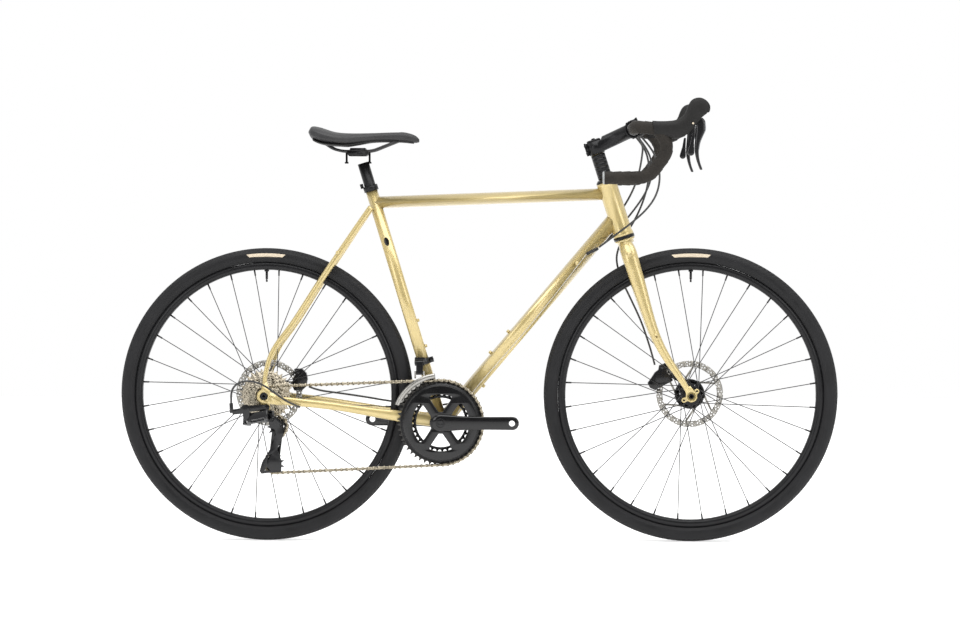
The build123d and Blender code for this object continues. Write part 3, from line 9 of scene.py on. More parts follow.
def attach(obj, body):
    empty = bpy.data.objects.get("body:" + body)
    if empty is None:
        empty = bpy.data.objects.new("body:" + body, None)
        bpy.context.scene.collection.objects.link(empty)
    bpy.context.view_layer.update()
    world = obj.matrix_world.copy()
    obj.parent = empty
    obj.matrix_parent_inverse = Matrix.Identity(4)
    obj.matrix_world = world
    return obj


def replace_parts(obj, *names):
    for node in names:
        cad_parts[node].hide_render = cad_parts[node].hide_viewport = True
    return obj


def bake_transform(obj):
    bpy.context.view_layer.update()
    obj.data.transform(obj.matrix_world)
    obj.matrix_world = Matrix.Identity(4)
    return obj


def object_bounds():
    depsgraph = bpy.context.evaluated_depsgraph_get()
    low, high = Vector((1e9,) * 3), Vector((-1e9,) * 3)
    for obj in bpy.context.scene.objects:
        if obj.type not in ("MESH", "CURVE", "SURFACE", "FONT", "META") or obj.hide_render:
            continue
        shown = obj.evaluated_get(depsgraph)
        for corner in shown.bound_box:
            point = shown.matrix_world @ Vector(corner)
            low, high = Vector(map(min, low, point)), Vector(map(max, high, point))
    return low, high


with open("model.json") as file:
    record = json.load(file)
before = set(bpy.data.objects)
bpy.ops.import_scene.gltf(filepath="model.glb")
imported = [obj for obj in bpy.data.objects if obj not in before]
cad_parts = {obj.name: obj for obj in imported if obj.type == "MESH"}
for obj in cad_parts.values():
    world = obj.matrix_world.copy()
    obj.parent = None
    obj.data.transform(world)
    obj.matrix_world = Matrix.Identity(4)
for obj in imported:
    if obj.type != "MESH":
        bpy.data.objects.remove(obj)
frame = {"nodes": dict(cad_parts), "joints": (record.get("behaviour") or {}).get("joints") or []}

cad_low, cad_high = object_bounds()

mm = 0.001
joints = {joint["name"]: joint for joint in frame["joints"]}
front_axle = Vector(joints["front_wheel_spin"]["pos_m"])
rear_axle = Vector(joints["rear_wheel_spin"]["pos_m"])
bracket = Vector(joints["crank_spin"]["pos_m"])
seat_dir = Vector(joints["seatpost_slide"]["axis"]).normalized()
bar_half_width = 213 * mm
tyre_radius = front_axle.z
sides = (("right", -1), ("left", 1))


# Materials. Each is a Principled shader whose colour and roughness come from noise in the piece's own space;
# all but the gold paint also get a bump from it.

def node_tree(name):
    material = bpy.data.materials.new(name)
    material.use_nodes = True
    nodes = material.node_tree.nodes
    links = material.node_tree.links
    shader = nodes["Principled BSDF"]
    place = nodes.new("ShaderNodeTexCoord")
    return material, nodes, links, shader, place.outputs["Object"]


def noise_node(nodes, links, place, scale, detail=3.0, stretch=None):
    noise = nodes.new("ShaderNodeTexNoise")
    noise.inputs["Scale"].default_value = scale
    noise.inputs["Detail"].default_value = detail
    if stretch:
        mapping = nodes.new("ShaderNodeMapping")
        mapping.inputs["Scale"].default_value = stretch
        links.new(place, mapping.inputs["Vector"])
        place = mapping.outputs["Vector"]
    links.new(place, noise.inputs["Vector"])
    return noise.outputs["Fac"]


def spread(nodes, links, value, low, high, start=0.3, end=0.7):
    scaled = nodes.new("ShaderNodeMapRange")
    scaled.inputs["From Min"].default_value = start
    scaled.inputs["From Max"].default_value = end
    scaled.inputs["To Min"].default_value = low
    scaled.inputs["To Max"].default_value = high
    links.new(value, scaled.inputs["Value"])
    return scaled.outputs["Result"]


def two_tones(nodes, links, factor, dark, light):
    ramp = nodes.new("ShaderNodeValToRGB")
    ramp.color_ramp.elements[0].color = (*dark, 1)
    ramp.color_ramp.elements[1].color = (*light, 1)
    ramp.color_ramp.elements[0].position = 0.3
    ramp.color_ramp.elements[1].position = 0.7
    links.new(factor, ramp.inputs["Fac"])
    return ramp.outputs["Color"]


def surface(name, colour, roughness, metallic=0.0, vary=0.12, vary_scale=30.0, grain_scale=900.0, bump=0.1,
            bump_depth=0.0002, coat=0.0, coat_roughness=0.05, rough_vary=0.06, sheen=0.0, stretch=None,
            specular=0.5):
    material, nodes, links, shader, place = node_tree(name)
    patches = noise_node(nodes, links, place, vary_scale, 4.0)
    grain = noise_node(nodes, links, place, grain_scale, 2.0, stretch)
    dark = [max(0.0, c * (1 - vary)) for c in colour]
    light = [min(1.0, c * (1 + vary)) for c in colour]
    links.new(two_tones(nodes, links, patches, dark, light), shader.inputs["Base Color"])
    rough = spread(nodes, links, patches, max(0.02, roughness - rough_vary), min(1.0, roughness + rough_vary))
    links.new(rough, shader.inputs["Roughness"])
    relief = nodes.new("ShaderNodeBump")
    relief.inputs["Strength"].default_value = bump
    relief.inputs["Distance"].default_value = bump_depth
    links.new(grain, relief.inputs["Height"])
    links.new(relief.outputs["Normal"], shader.inputs["Normal"])
    shader.inputs["Metallic"].default_value = metallic
    shader.inputs["Coat Weight"].default_value = coat
    shader.inputs["Coat Roughness"].default_value = coat_roughness
    shader.inputs["Sheen Weight"].default_value = sheen
    shader.inputs["Specular IOR Level"].default_value = specular
    return material


def flake_paint(name, base, flake):
    """Metallic car paint: fine bright flakes under a clear coat."""
    material, nodes, links, shader, place = node_tree(name)
    flakes = nodes.new("ShaderNodeTexVoronoi")
    flakes.inputs["Scale"].default_value = 1400
    links.new(place, flakes.inputs["Vector"])
    split = nodes.new("ShaderNodeSeparateColor")
    links.new(flakes.outputs["Color"], split.inputs["Color"])
    links.new(two_tones(nodes, links, split.outputs["Red"], base, flake), shader.inputs["Base Color"])
    waves = noise_node(nodes, links, place, 22.0, 2.0)
    links.new(spread(nodes, links, waves, 0.30, 0.40), shader.inputs["Roughness"])
    shader.inputs["Metallic"].default_value = 0.5
    shader.inputs["Coat Weight"].default_value = 1.0
    shader.inputs["Coat Roughness"].default_value = 0.04
    return material


def ringed(name, centre, marks, metallic, roughness, brush=0.0):
    """Colours in rings about an axle along Y.

    marks are (radius where a ring starts, colour) from the middle outwards.
    """
    material, nodes, links, shader, place = node_tree(name)
    offset = nodes.new("ShaderNodeVectorMath")
    offset.operation = "SUBTRACT"
    offset.inputs[1].default_value = centre
    links.new(place, offset.inputs[0])
    parts = nodes.new("ShaderNodeSeparateXYZ")
    links.new(offset.outputs["Vector"], parts.inputs["Vector"])
    flat = nodes.new("ShaderNodeCombineXYZ")
    links.new(parts.outputs["X"], flat.inputs["X"])
    links.new(parts.outputs["Z"], flat.inputs["Z"])
    length = nodes.new("ShaderNodeVectorMath")
    length.operation = "LENGTH"
    links.new(flat.outputs["Vector"], length.inputs[0])
    reach = marks[-1][0] * 1.5
    ratio = spread(nodes, links, length.outputs["Value"], 0.0, 1.0, 0.0, reach)
    ramp = nodes.new("ShaderNodeValToRGB")
    ramp.color_ramp.interpolation = "CONSTANT"
    stops = ramp.color_ramp.elements
    stops[0].color = (*marks[0][1], 1)
    stops[1].position = marks[1][0] / reach
    stops[1].color = (*marks[1][1], 1)
    for radius, colour in marks[2:]:
        stop = stops.new(radius / reach)
        stop.color = (*colour, 1)
    links.new(ratio, ramp.inputs["Fac"])
    worn = noise_node(nodes, links, place, 160.0, 4.0)
    shade = nodes.new("ShaderNodeMix")
    shade.data_type = "RGBA"
    shade.blend_type = "MULTIPLY"
    shade.inputs["Factor"].default_value = 1.0
    links.new(ramp.outputs["Color"], shade.inputs["A"])
    links.new(two_tones(nodes, links, worn, (0.78, 0.78, 0.78), (1, 1, 1)), shade.inputs["B"])
    links.new(shade.outputs["Result"], shader.inputs["Base Color"])
    links.new(spread(nodes, links, worn, roughness - 0.06, roughness + 0.08), shader.inputs["Roughness"])
    lines = nodes.new("ShaderNodeTexWave")
    lines.wave_type = "RINGS"
    lines.rings_direction = "Y"
    lines.inputs["Scale"].default_value = 260
    lines.inputs["Distortion"].default_value = 1.5
    links.new(offset.outputs["Vector"], lines.inputs["Vector"])
    relief = nodes.new("ShaderNodeBump")
    relief.inputs["Strength"].default_value = brush
    relief.inputs["Distance"].default_value = 0.0001
    links.new(lines.outputs["Fac"], relief.inputs["Height"])
    links.new(relief.outputs["Normal"], shader.inputs["Normal"])
    shader.inputs["Metallic"].default_value = metallic
    return material


def leather_like(name, colour, cell_scale, bump, roughness):
    material, nodes, links, shader, place = node_tree(name)
    cells = nodes.new("ShaderNodeTexVoronoi")
    cells.feature = "DISTANCE_TO_EDGE"
    cells.inputs["Scale"].default_value = cell_scale
    links.new(place, cells.inputs["Vector"])
    patches = noise_node(nodes, links, place, 35.0, 4.0)
    dark = [c * 0.75 for c in colour]
    light = [c * 1.3 for c in colour]
    links.new(two_tones(nodes, links, patches, dark, light), shader.inputs["Base Color"])
    links.new(spread(nodes, links, patches, roughness - 0.07, roughness + 0.08), shader.inputs["Roughness"])
    relief = nodes.new("ShaderNodeBump")
    relief.inputs["Strength"].default_value = bump
    relief.inputs["Distance"].default_value = 0.0003
    links.new(cells.outputs["Distance"], relief.inputs["Height"])
    links.new(relief.outputs["Normal"], shader.inputs["Normal"])
    return material


gold = flake_paint("gold_paint", (0.54, 0.425, 0.175), (0.60, 0.48, 0.215))
satin_black = surface("satin_black", (0.010, 0.010, 0.011), 0.36, 0.35, grain_scale=1500, bump=0.08,
                      coat=0.15, coat_roughness=0.25)
gloss_black = surface("gloss_black", (0.003, 0.003, 0.0035), 0.2, 0.0, bump=0.02, coat=0.55,
                      coat_roughness=0.06)
mech_black = surface("mech_black", (0.007, 0.007, 0.008), 0.3, 0.1, bump=0.05, coat=0.5, coat_roughness=0.15)
plastic = surface("moulded_plastic", (0.018, 0.018, 0.018), 0.48, grain_scale=1200, bump=0.25)
grey_plastic = surface("grey_plastic", (0.30, 0.31, 0.31), 0.4, grain_scale=1200, bump=0.15)
housing = surface("cable_housing", (0.014, 0.014, 0.014), 0.38, grain_scale=2000, bump=0.1, coat=0.3)
bare_steel = surface("bare_steel", (0.55, 0.54, 0.52), 0.3, 1.0, grain_scale=1600, bump=0.12)
cage_steel = surface("cage_steel", (0.34, 0.33, 0.31), 0.28, 1.0, grain_scale=1600, bump=0.1)
chain_steel = surface("chain_steel", (0.34, 0.30, 0.225), 0.34, 1.0, vary=0.3, vary_scale=160, bump=0.15)
spoke_steel = surface("spoke_steel", (0.035, 0.035, 0.036), 0.32, 0.6, bump=0.05)
rim_black = surface("rim_black", (0.009, 0.009, 0.010), 0.38, 0.3, grain_scale=1800, bump=0.1, coat=0.2,
                    coat_roughness=0.2)
hood_rubber = leather_like("hood_rubber", (0.014, 0.0135, 0.013), 900, 0.35, 0.62)
saddle_leather = leather_like("saddle_leather", (0.019, 0.019, 0.02), 1500, 0.4, 0.52)
tape_cork = leather_like("tape_cork", (0.022, 0.019, 0.016), 420, 0.55, 0.7)
tyre_rubber = surface("tyre_rubber", (0.013, 0.013, 0.014), 0.55, vary=0.25, vary_scale=18, grain_scale=1100,
                      bump=0.3, rough_vary=0.1)
label_cream = surface("label_cream", (0.62, 0.53, 0.40), 0.6, vary=0.08, grain_scale=1100, bump=0.2)
lever_silver = surface("lever_silver", (0.26, 0.27, 0.28), 0.3, 0.9, bump=0.05)
rotor_marks = ((0, (0.02, 0.02, 0.02)), (37.2 * mm, (0.36, 0.345, 0.31)), (64.5 * mm, (0.40, 0.385, 0.35)))
front_rotor_steel = ringed("front_rotor_steel", front_axle, rotor_marks, 0.85, 0.34, 0.25)
rear_rotor_steel = ringed("rear_rotor_steel", rear_axle, rotor_marks, 0.85, 0.34, 0.25)
cassette_marks = ((0, (0.03, 0.03, 0.03)), (17 * mm, (0.40, 0.36, 0.28)), (40 * mm, (0.46, 0.41, 0.32)))
cassette_steel = ringed("cassette_steel", rear_axle, cassette_marks, 0.95, 0.32, 0.3)
ring_marks = ((0, (0.014, 0.014, 0.015)), (95.5 * mm, (0.05, 0.048, 0.045)))
ring_finish = ringed("chainring_finish", bracket, ring_marks, 0.5, 0.3, 0.1)


# The blacks reflect less than the usual amount, so that they stay dark under the soft light.

dark_reflection = 0.22
for dark in (tyre_rubber, hood_rubber, tape_cork, rim_black, satin_black, mech_black, gloss_black, plastic):
    dark.node_tree.nodes["Principled BSDF"].inputs["Specular IOR Level"].default_value = dark_reflection


# CAD nodes keep their meshes. A weld joins the split corners, a small bevel rounds the edges.

def dress(node, material, bevel=0.0, segments=2):
    obj = frame["nodes"][node]
    obj.data.materials.clear()
    obj.data.materials.append(material)
    weld = obj.modifiers.new("weld", "WELD")
    weld.merge_threshold = 2e-6
    if bevel:
        rounding = obj.modifiers.new("rounding", "BEVEL")
        rounding.width = bevel
        rounding.segments = segments
        rounding.limit_method = "ANGLE"
        rounding.angle_limit = math.radians(38)
        rounding.miter_outer = "MITER_ARC"
    obj.data.shade_smooth()
    obj.data.set_sharp_from_angle(angle=math.radians(35))
    return obj


looks = (
    (gold, ("head_tube", "top_tube", "down_tube", "seat_tube", "bottom_bracket_shell", "seatstays",
            "chainstays", "rear_dropouts", "frame_fittings", "fork"), 0.0),
    (satin_black, ("seatpost_collar", "seatpost", "saddle_clamp", "stem", "headset_spacers", "headset_cups",
                   "handlebar", "front_hub", "rear_hub", "bottom_bracket_cups", "rear_thru_axle",
                   "front_thru_axle"), 0.0),
    (mech_black, ("front_mech_body", "fd_link", "rd_knuckle", "rd_outer_link", "rd_inner_link",
                  "rd_lower_knuckle", "rd_cage", "right_shift_paddle", "left_shift_paddle",
                  "front_caliper", "rear_caliper"), 0.0004),
    (rim_black, ("front_rim", "rear_rim"), 0.0),
    (spoke_steel, ("front_spokes", "rear_spokes", "saddle_rails"), 0.0),
    (cage_steel, ("fd_cage",), 0.0),
    (plastic, ("guide_pulley", "tension_pulley"), 0.0),
    (grey_plastic, ("bar_plugs",), 0.0005),
    (chain_steel, ("chain",), 0.0),
    (front_rotor_steel, ("front_rotor",), 0.0),
    (rear_rotor_steel, ("rear_rotor",), 0.0),
    (cassette_steel, ("cassette",), 0.0),
    (ring_finish, ("chainrings",), 0.0),
)
for finish, names, bevel in looks:
    for node in names:
        dress(node, finish, bevel)


# Mesh helpers

def add_mesh(name, vertices, faces, material, body, smooth=35):
    mesh = bpy.data.meshes.new(name)
    mesh.from_pydata([tuple(v) for v in vertices], [], faces)
    mesh.validate()
    tidy = bmesh.new()
    tidy.from_mesh(mesh)
    bmesh.ops.recalc_face_normals(tidy, faces=tidy.faces)
    tidy.to_mesh(mesh)
    tidy.free()
    return place_mesh(name, mesh, material, body, smooth)


def place_mesh(name, mesh, material, body, smooth=35):
    mesh.materials.clear()
    mesh.materials.append(material)
    obj = bpy.data.objects.new(name, mesh)
    bpy.context.scene.collection.objects.link(obj)
    mesh.shade_smooth()
    mesh.set_sharp_from_angle(angle=math.radians(smooth))
    if body:
        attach(obj, body)
    return obj


def bridge(rings, closed_rings=False, caps=True):
    """Quads between rings of equal size, given as a list of point lists."""
    count = len(rings[0])
    vertices = [point for ring in rings for point in ring]
    faces = []
    total = len(rings)
    for i in range(total if closed_rings else total - 1):
        a, b = i * count, ((i + 1) % total) * count
        for j in range(count):
            k = (j + 1) % count
            faces.append((a + j, a + k, b + k, b + j))
    if caps and not closed_rings:
        faces.append(tuple(reversed(range(count))))
        faces.append(tuple(range((total - 1) * count, total * count)))
    return vertices, faces


def smooth_value(points, x):
    """Smooth curve through (x, value) points, by Hermite spans with averaged slopes."""
    points = sorted(points)
    if x <= points[0][0]:
        return points[0][1]
    if x >= points[-1][0]:
        return points[-1][1]
    slopes = []
    for i in range(len(points)):
        before = points[max(0, i - 1)]
        after = points[min(len(points) - 1, i + 1)]
        slopes.append((after[1] - before[1]) / (after[0] - before[0]))
    for i in range(len(points) - 1):
        x0, v0 = points[i]
        x1, v1 = points[i + 1]
        if x <= x1:
            h = x1 - x0
            t = (x - x0) / h
            return ((2 * t ** 3 - 3 * t ** 2 + 1) * v0 + (t ** 3 - 2 * t ** 2 + t) * h * slopes[i]
                    + (3 * t ** 2 - 2 * t ** 3) * v1 + (t ** 3 - t ** 2) * h * slopes[i + 1])


def through(stations, steps):
    """Smooth run of tuples through station tuples, steps to each span."""
    count = len(stations)
    columns = []
    for column in range(len(stations[0])):
        marks = [(i, stations[i][column]) for i in range(count)]
        columns.append([smooth_value(marks, i / steps) for i in range((count - 1) * steps + 1)])
    return list(zip(*columns))


# Tyres: a casing with three fine grooves, sipes on the shoulders, ribs on the sidewall and a blank label.

def tyre(word, axle, body):
    casing_r = 18.8 * mm
    casing_centre = tyre_radius - casing_r
    inner_r = 16.6 * mm
    around = 1104
    sipe_count = 184
    bead = 143
    across = [bead * i / 30 for i in range(-30, 31)]
    rings = []
    for k in range(around):
        turn = 2 * math.pi * k / around
        ring = []
        for degrees in across:
            a = math.radians(degrees)
            size = abs(degrees)
            depth = 0.0
            if min(abs(size - 9.5), abs(size - 24)) < 1.4:
                depth = 0.7 * mm
            if 28 < size < 52:
                phase = turn * sipe_count / (2 * math.pi) + degrees / 30
                if phase % 1 < 0.34:
                    depth = 0.8 * mm
            if 58 < size < 61 or 112 < size < 116:
                depth = -0.35 * mm
            r = casing_r - depth
            ring.append((casing_centre + r * math.cos(a), r * math.sin(a)))
        for degrees in reversed(across[::4]):
            a = math.radians(degrees)
            ring.append((casing_centre + inner_r * math.cos(a), inner_r * math.sin(a)))
        c, s = math.cos(turn), math.sin(turn)
        rings.append([(axle.x + r * c, y, axle.z + r * s) for r, y in ring])
    vertices, faces = bridge(rings, closed_rings=True)
    obj = add_mesh(f"{word}_tyre_rubber", vertices, faces, tyre_rubber, body, 28)
    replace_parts(obj, f"{word}_tyre")
    for name, side in sides:
        low, high = math.radians(70), math.radians(93)
        rows, steps = 8, 40
        half_turn = math.radians(7.4)
        slant = math.radians(0.55)
        patch = []
        for lift in (0.0, 0.25 * mm):
            for i in range(rows + 1):
                share = i / rows
                a = low + (high - low) * share
                r = casing_r + lift
                radius = casing_centre + r * math.cos(a)
                lean = slant * (1 - 2 * share)
                line = []
                for j in range(steps + 1):
                    end = 2 * j / steps - 1
                    turn = math.pi / 2 + end * half_turn + (lean if end > 0 else -lean) * abs(end)
                    line.append((axle.x + radius * math.cos(turn), side * r * math.sin(a),
                                 axle.z + radius * math.sin(turn)))
                patch.append(line)
        outer = patch[rows + 1:]
        inner = patch[:rows + 1]
        loops = []
        for i in range(rows + 1):
            loops.append(inner[i] + outer[i][::-1])
        vertices, faces = bridge(loops)
        label = add_mesh(f"{word}_tyre_label_{name}", vertices, faces, label_cream, body)
        label["part_of"] = f"{word}_tyre"


tyre("front", front_axle, "front_wheel")
tyre("rear", rear_axle, "rear_wheel")


# Saddle: a lofted cushion with a long relief channel, over a moulded base.

saddle_top = [(-403, 984), (-397, 992.5), (-376, 990), (-345, 980.5), (-325, 977.5), (-294, 976.5),
              (-253, 977.5), (-205, 979.5), (-180, 979), (-164, 976), (-149, 970), (-141, 962)]
saddle_low = [(-403, 974), (-397, 963), (-376, 952), (-351, 948), (-333, 947), (-314, 946), (-292, 949),
              (-251, 955.5), (-203, 956.5), (-177, 955.5), (-149, 953), (-141, 955)]
saddle_half = [(-403, 40), (-397, 58), (-385, 68), (-370, 72), (-335, 66), (-295, 45), (-250, 27),
               (-205, 20.5), (-165, 17.5), (-149, 12.5), (-141, 5)]


def saddle():
    rings = []
    count = 64
    stations = 72
    start, end = -403.0, -141.0
    for i in range(stations + 1):
        share = 0.5 - 0.5 * math.cos(math.pi * i / stations)
        x = start + (end - start) * share
        top = smooth_value(saddle_top, x)
        low = smooth_value(saddle_low, x)
        half = max(3.0, smooth_value(saddle_half, x))
        wide = min(1.0, half / 60)
        middle = low + (top - low) * 0.42
        ring = []
        for j in range(count):
            a = 2 * math.pi * j / count
            c, s = math.cos(a), math.sin(a)
            y = half * math.copysign(abs(c) ** 0.85, c)
            if s >= 0:
                z = middle + (top - middle) * s ** (0.62 - 0.12 * wide)
            else:
                z = middle - (middle - low) * abs(s) ** 0.8
            if s > 0 and -372 < x < -185:
                fade = math.sin(math.pi * (x + 372) / 187) ** 0.6
                z -= 4.2 * fade * math.exp(-(y / 8.5) ** 4)
            if s > 0:
                z -= 3.0 * wide * (abs(y) / max(half, 1)) ** 2
            ring.append((x * mm, y * mm, z * mm))
        rings.append(ring)
    vertices, faces = bridge(rings)
    cover = add_mesh("saddle_cushion", vertices, faces, saddle_leather, "seat", 60)
    soften = cover.modifiers.new("smooth", "SUBSURF")
    soften.levels = 1
    soften.render_levels = 1
    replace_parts(cover, "saddle_cover")

    rings = []
    for i in range(41):
        x = -392 + 238 * i / 40
        low = smooth_value(saddle_low, x)
        half = smooth_value(saddle_half, x) * 0.93 - 2
        ring = []
        for j in range(24):
            a = 2 * math.pi * j / 24
            y = half * math.copysign(abs(math.cos(a)) ** 0.5, math.cos(a))
            z = low + 1.2 + 3.4 * math.copysign(abs(math.sin(a)) ** 0.6, math.sin(a))
            ring.append((x * mm, y * mm, z * mm))
        rings.append(ring)
    vertices, faces = bridge(rings)
    base = add_mesh("saddle_shell", vertices, faces, plastic, "seat", 50)
    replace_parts(base, "saddle_base")


saddle()


# Bar tape: a band wound along the drops, each turn lapping the last.

bar_corners = ((370, 70, 985.5), (370, 213, 985.5), (419, 213, 981.5), (451, 213, 938), (400, 213, 868.5),
               (297.4, 213, 867.5))
bar_radii = (34, 26, 42, 46)
tape_radius = 14.6 * mm
tape_pitch = 21 * mm


def bar_line(side, spacing):
    """Even points along the bar's runs and bends, in metres."""
    corners = [Vector((x, side * y, z)) * mm for x, y, z in bar_corners]
    line = [corners[0]]
    for i, radius in enumerate(bar_radii):
        corner = corners[i + 1]
        back = (corners[i] - corner).normalized()
        ahead = (corners[i + 2] - corner).normalized()
        half = back.angle(ahead) / 2
        centre = corner + (back + ahead).normalized() * (radius * mm / math.sin(half))
        first = corner + back * (radius * mm / math.tan(half))
        axis = (first - centre).cross(corner + ahead * (radius * mm / math.tan(half)) - centre).normalized()
        for step in range(25):
            turn = Matrix.Rotation((math.pi - 2 * half) * step / 24, 3, axis)
            line.append(centre + turn @ (first - centre))
    line.append(corners[-1])
    even = [line[0]]
    wanted = spacing
    run = 0.0
    for a, b in zip(line, line[1:]):
        length = (b - a).length
        while run + length >= wanted:
            even.append(a.lerp(b, (wanted - run) / length))
            wanted += spacing
        run += length
    return even


def tape(word, side):
    line = bar_line(side, 1.2 * mm)
    count = 36
    rings = []
    across = Vector((0, 0, 1))
    for i, point in enumerate(line):
        ahead = (line[min(i + 1, len(line) - 1)] - line[max(i - 1, 0)]).normalized()
        across = (across - ahead * across.dot(ahead)).normalized()
        up = ahead.cross(across)
        ring = []
        for j in range(count):
            a = 2 * math.pi * j / count
            lap = (i * 1.2 * mm / tape_pitch + side * j / count) % 1
            step = 1.1 * mm * (1 - lap) if lap > 0.08 else 1.1 * mm * lap / 0.08
            r = tape_radius - 0.3 * mm + step
            ring.append(point + (across * math.cos(a) + up * math.sin(a)) * r)
        rings.append(ring)
    vertices, faces = bridge(rings)
    obj = add_mesh(f"bar_tape_{word}", vertices, faces, tape_cork, "steering", 50)
    band = []
    for i in range(9):
        offset = Vector((0, side * (70.5 + 1.4 * i) * mm, 0))
        centre = Vector((370 * mm, 0, 985.5 * mm)) + offset
        r = tape_radius + (0.25 * mm if 0 < i < 8 else -0.4 * mm)
        band.append([centre + Vector((math.cos(t), 0, math.sin(t))) * r
                     for t in [2 * math.pi * j / 40 for j in range(40)]])
    vertices, faces = bridge(band)
    add_mesh(f"tape_end_band_{word}", vertices, faces, housing, "steering")
    return obj


tapes = [tape(word, side) for word, side in sides]
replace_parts(tapes[0], "bar_tape")


# Brake hoods and levers, lofted between an upper and a lower edge in side view.

hood_stations = (
    (408, 999.5, 413, 965.0, 16.4), (424, 998.6, 430, 961.5, 17.2), (445, 999, 446, 958.5, 17.3),
    (462, 1001.5, 463, 957.5, 16.8), (476, 1009, 479, 962, 16.0), (485, 1021, 494, 970.5, 15.4),
    (490, 1034, 508, 987, 14.8), (497, 1045.5, 523, 1005, 14.0), (507, 1051.5, 535, 1014.5, 12.4),
    (519, 1052.5, 540.5, 1023.0, 9.8), (529, 1048.5, 541, 1033, 6.4), (534.5, 1044, 538.5, 1039, 2.4),
)
lever_stations = (
    (524.0, 1006, 507.0, 1004, 5.2), (529.5, 998, 508.5, 990, 5.4), (530.5, 979, 507.5, 974, 5.8),
    (524.5, 964, 506.0, 956, 6.4), (518.0, 948, 505.0, 940, 6.6), (515.2, 932, 505.8, 926, 6.4),
    (515.8, 916, 508.8, 911, 6.0), (518.6, 902, 513.0, 898, 5.4), (522.5, 891, 517.0, 888, 4.6),
    (523.6, 886.6, 519.6, 885.8, 2.8),
)


def lofted(name, stations, y0, material, body, power=0.8, steps=6, count=36, smooth=60):
    rings = []
    for x1, z1, x2, z2, half in through(stations, steps):
        high = Vector((x1, 0, z1))
        low = Vector((x2, 0, z2))
        centre = (high + low) / 2
        reach = (high - low) / 2
        ring = []
        for j in range(count):
            a = 2 * math.pi * j / count
            c, s = math.cos(a), math.sin(a)
            point = centre + reach * math.copysign(abs(s) ** power, s)
            point.y = half * math.copysign(abs(c) ** power, c)
            ring.append((point.x * mm, y0 + point.y * mm, point.z * mm))
        rings.append(ring)
    vertices, faces = bridge(rings)
    return add_mesh(name, vertices, faces, material, body, smooth)


def prism(name, outline, y0, y1):
    """Closed prism of a side view outline, in metres."""
    vertices = [(x, y0, z) for x, z in outline] + [(x, y1, z) for x, z in outline]
    count = len(outline)
    faces = [tuple(range(count)), tuple(reversed(range(count, 2 * count)))]
    faces += [(i, i + count, (i + 1) % count + count, (i + 1) % count) for i in range(count)]
    mesh = bpy.data.meshes.new(name)
    mesh.from_pydata(vertices, [], faces)
    tidy = bmesh.new()
    tidy.from_mesh(mesh)
    bmesh.ops.recalc_face_normals(tidy, faces=tidy.faces)
    tidy.to_mesh(mesh)
    tidy.free()
    obj = bpy.data.objects.new(name, mesh)
    bpy.context.scene.collection.objects.link(obj)
    return obj


def subtract(obj, cutter):
    cut = obj.modifiers.new("cut", "BOOLEAN")
    cut.operation = "DIFFERENCE"
    cut.solver = "EXACT"
    cut.object = cutter
    bpy.context.view_layer.update()
    evaluated = obj.evaluated_get(bpy.context.evaluated_depsgraph_get())
    mesh = bpy.data.meshes.new_from_object(evaluated)
    obj.modifiers.remove(cut)
    old = obj.data
    obj.data = mesh
    bpy.data.meshes.remove(old)
    bpy.data.objects.remove(cutter)


def hood_and_lever(word, side):
    y = side * bar_half_width
    hood = lofted(f"lever_hood_{word}", hood_stations, y, hood_rubber, "steering", 0.82)
    slot_outline = [(491, 1001), (498, 1019), (515, 1025), (534, 1018), (548, 1020), (548, 940), (484, 940),
                    (484, 985)]
    cutter = prism("slot_cutter", [(x * mm, z * mm) for x, z in slot_outline], y - 7.0 * mm, y + 7.0 * mm)
    subtract(hood, cutter)
    hood.data.shade_smooth()
    hood.data.set_sharp_from_angle(angle=math.radians(50))
    lever = lofted(f"brake_blade_{word}", lever_stations, y, mech_black, f"{word}_lever", 0.75)
    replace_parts(lever, f"{word}_brake_lever")
    face = [(x1 + 0.7, z1, x1 - 4.0, z1 - 1.5, half * 0.72) for x1, z1, _, _, half in lever_stations[1:6]]
    lofted(f"brake_blade_face_{word}", face, y, lever_silver, f"{word}_lever", 0.75)
    return hood


hoods = [hood_and_lever(word, side) for word, side in sides]
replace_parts(hoods[0], "lever_hoods")


def hood_screw(word, side):
    """Small pale screw head on the outer face of a lever hood."""
    centre = Vector((501, 0, 993)) * mm
    rings = []
    for reach, radius in ((11.0, 2.4), (16.3, 2.4), (16.7, 2.0), (16.7, 0.4)):
        y = side * (bar_half_width + reach * mm)
        r = radius * mm
        turns = [2 * math.pi * i / 24 for i in range(24)]
        rings.append([(centre.x + r * math.cos(t), y, centre.z + r * math.sin(t)) for t in turns])
    vertices, faces = bridge(rings)
    add_mesh(f"hood_screw_{word}", vertices, faces, label_cream, "steering")


for word, side in sides:
    hood_screw(word, side)


def seat_badge():
    """Plain black oval wrapped on the right of the seat tube."""
    tube_radius = 14.3
    half_width = 6.0
    half_height = 10.5
    middle = bracket + seat_dir * 450 * mm
    ahead = Vector((seat_dir.z, 0, -seat_dir.x))
    rings = []
    for reach, lift in ((0.05, 0.4), (0.6, 0.4), (0.95, 0.35), (1.0, 0.1), (1.0, -0.4), (0.05, -0.4)):
        ring = []
        for i in range(48):
            t = 2 * math.pi * i / 48
            turn = half_width * reach * math.cos(t) / tube_radius
            radius = (tube_radius + lift) * mm
            across = ahead * math.sin(turn) - Vector((0, 1, 0)) * math.cos(turn)
            ring.append(middle + seat_dir * half_height * mm * reach * math.sin(t) + across * radius)
        rings.append(ring)
    vertices, faces = bridge(rings)
    add_mesh("seat_tube_badge", vertices, faces, gloss_black, "frame")


seat_badge()


# Cranks: a glossy arm and a four-armed spider with windows cut between its arms.

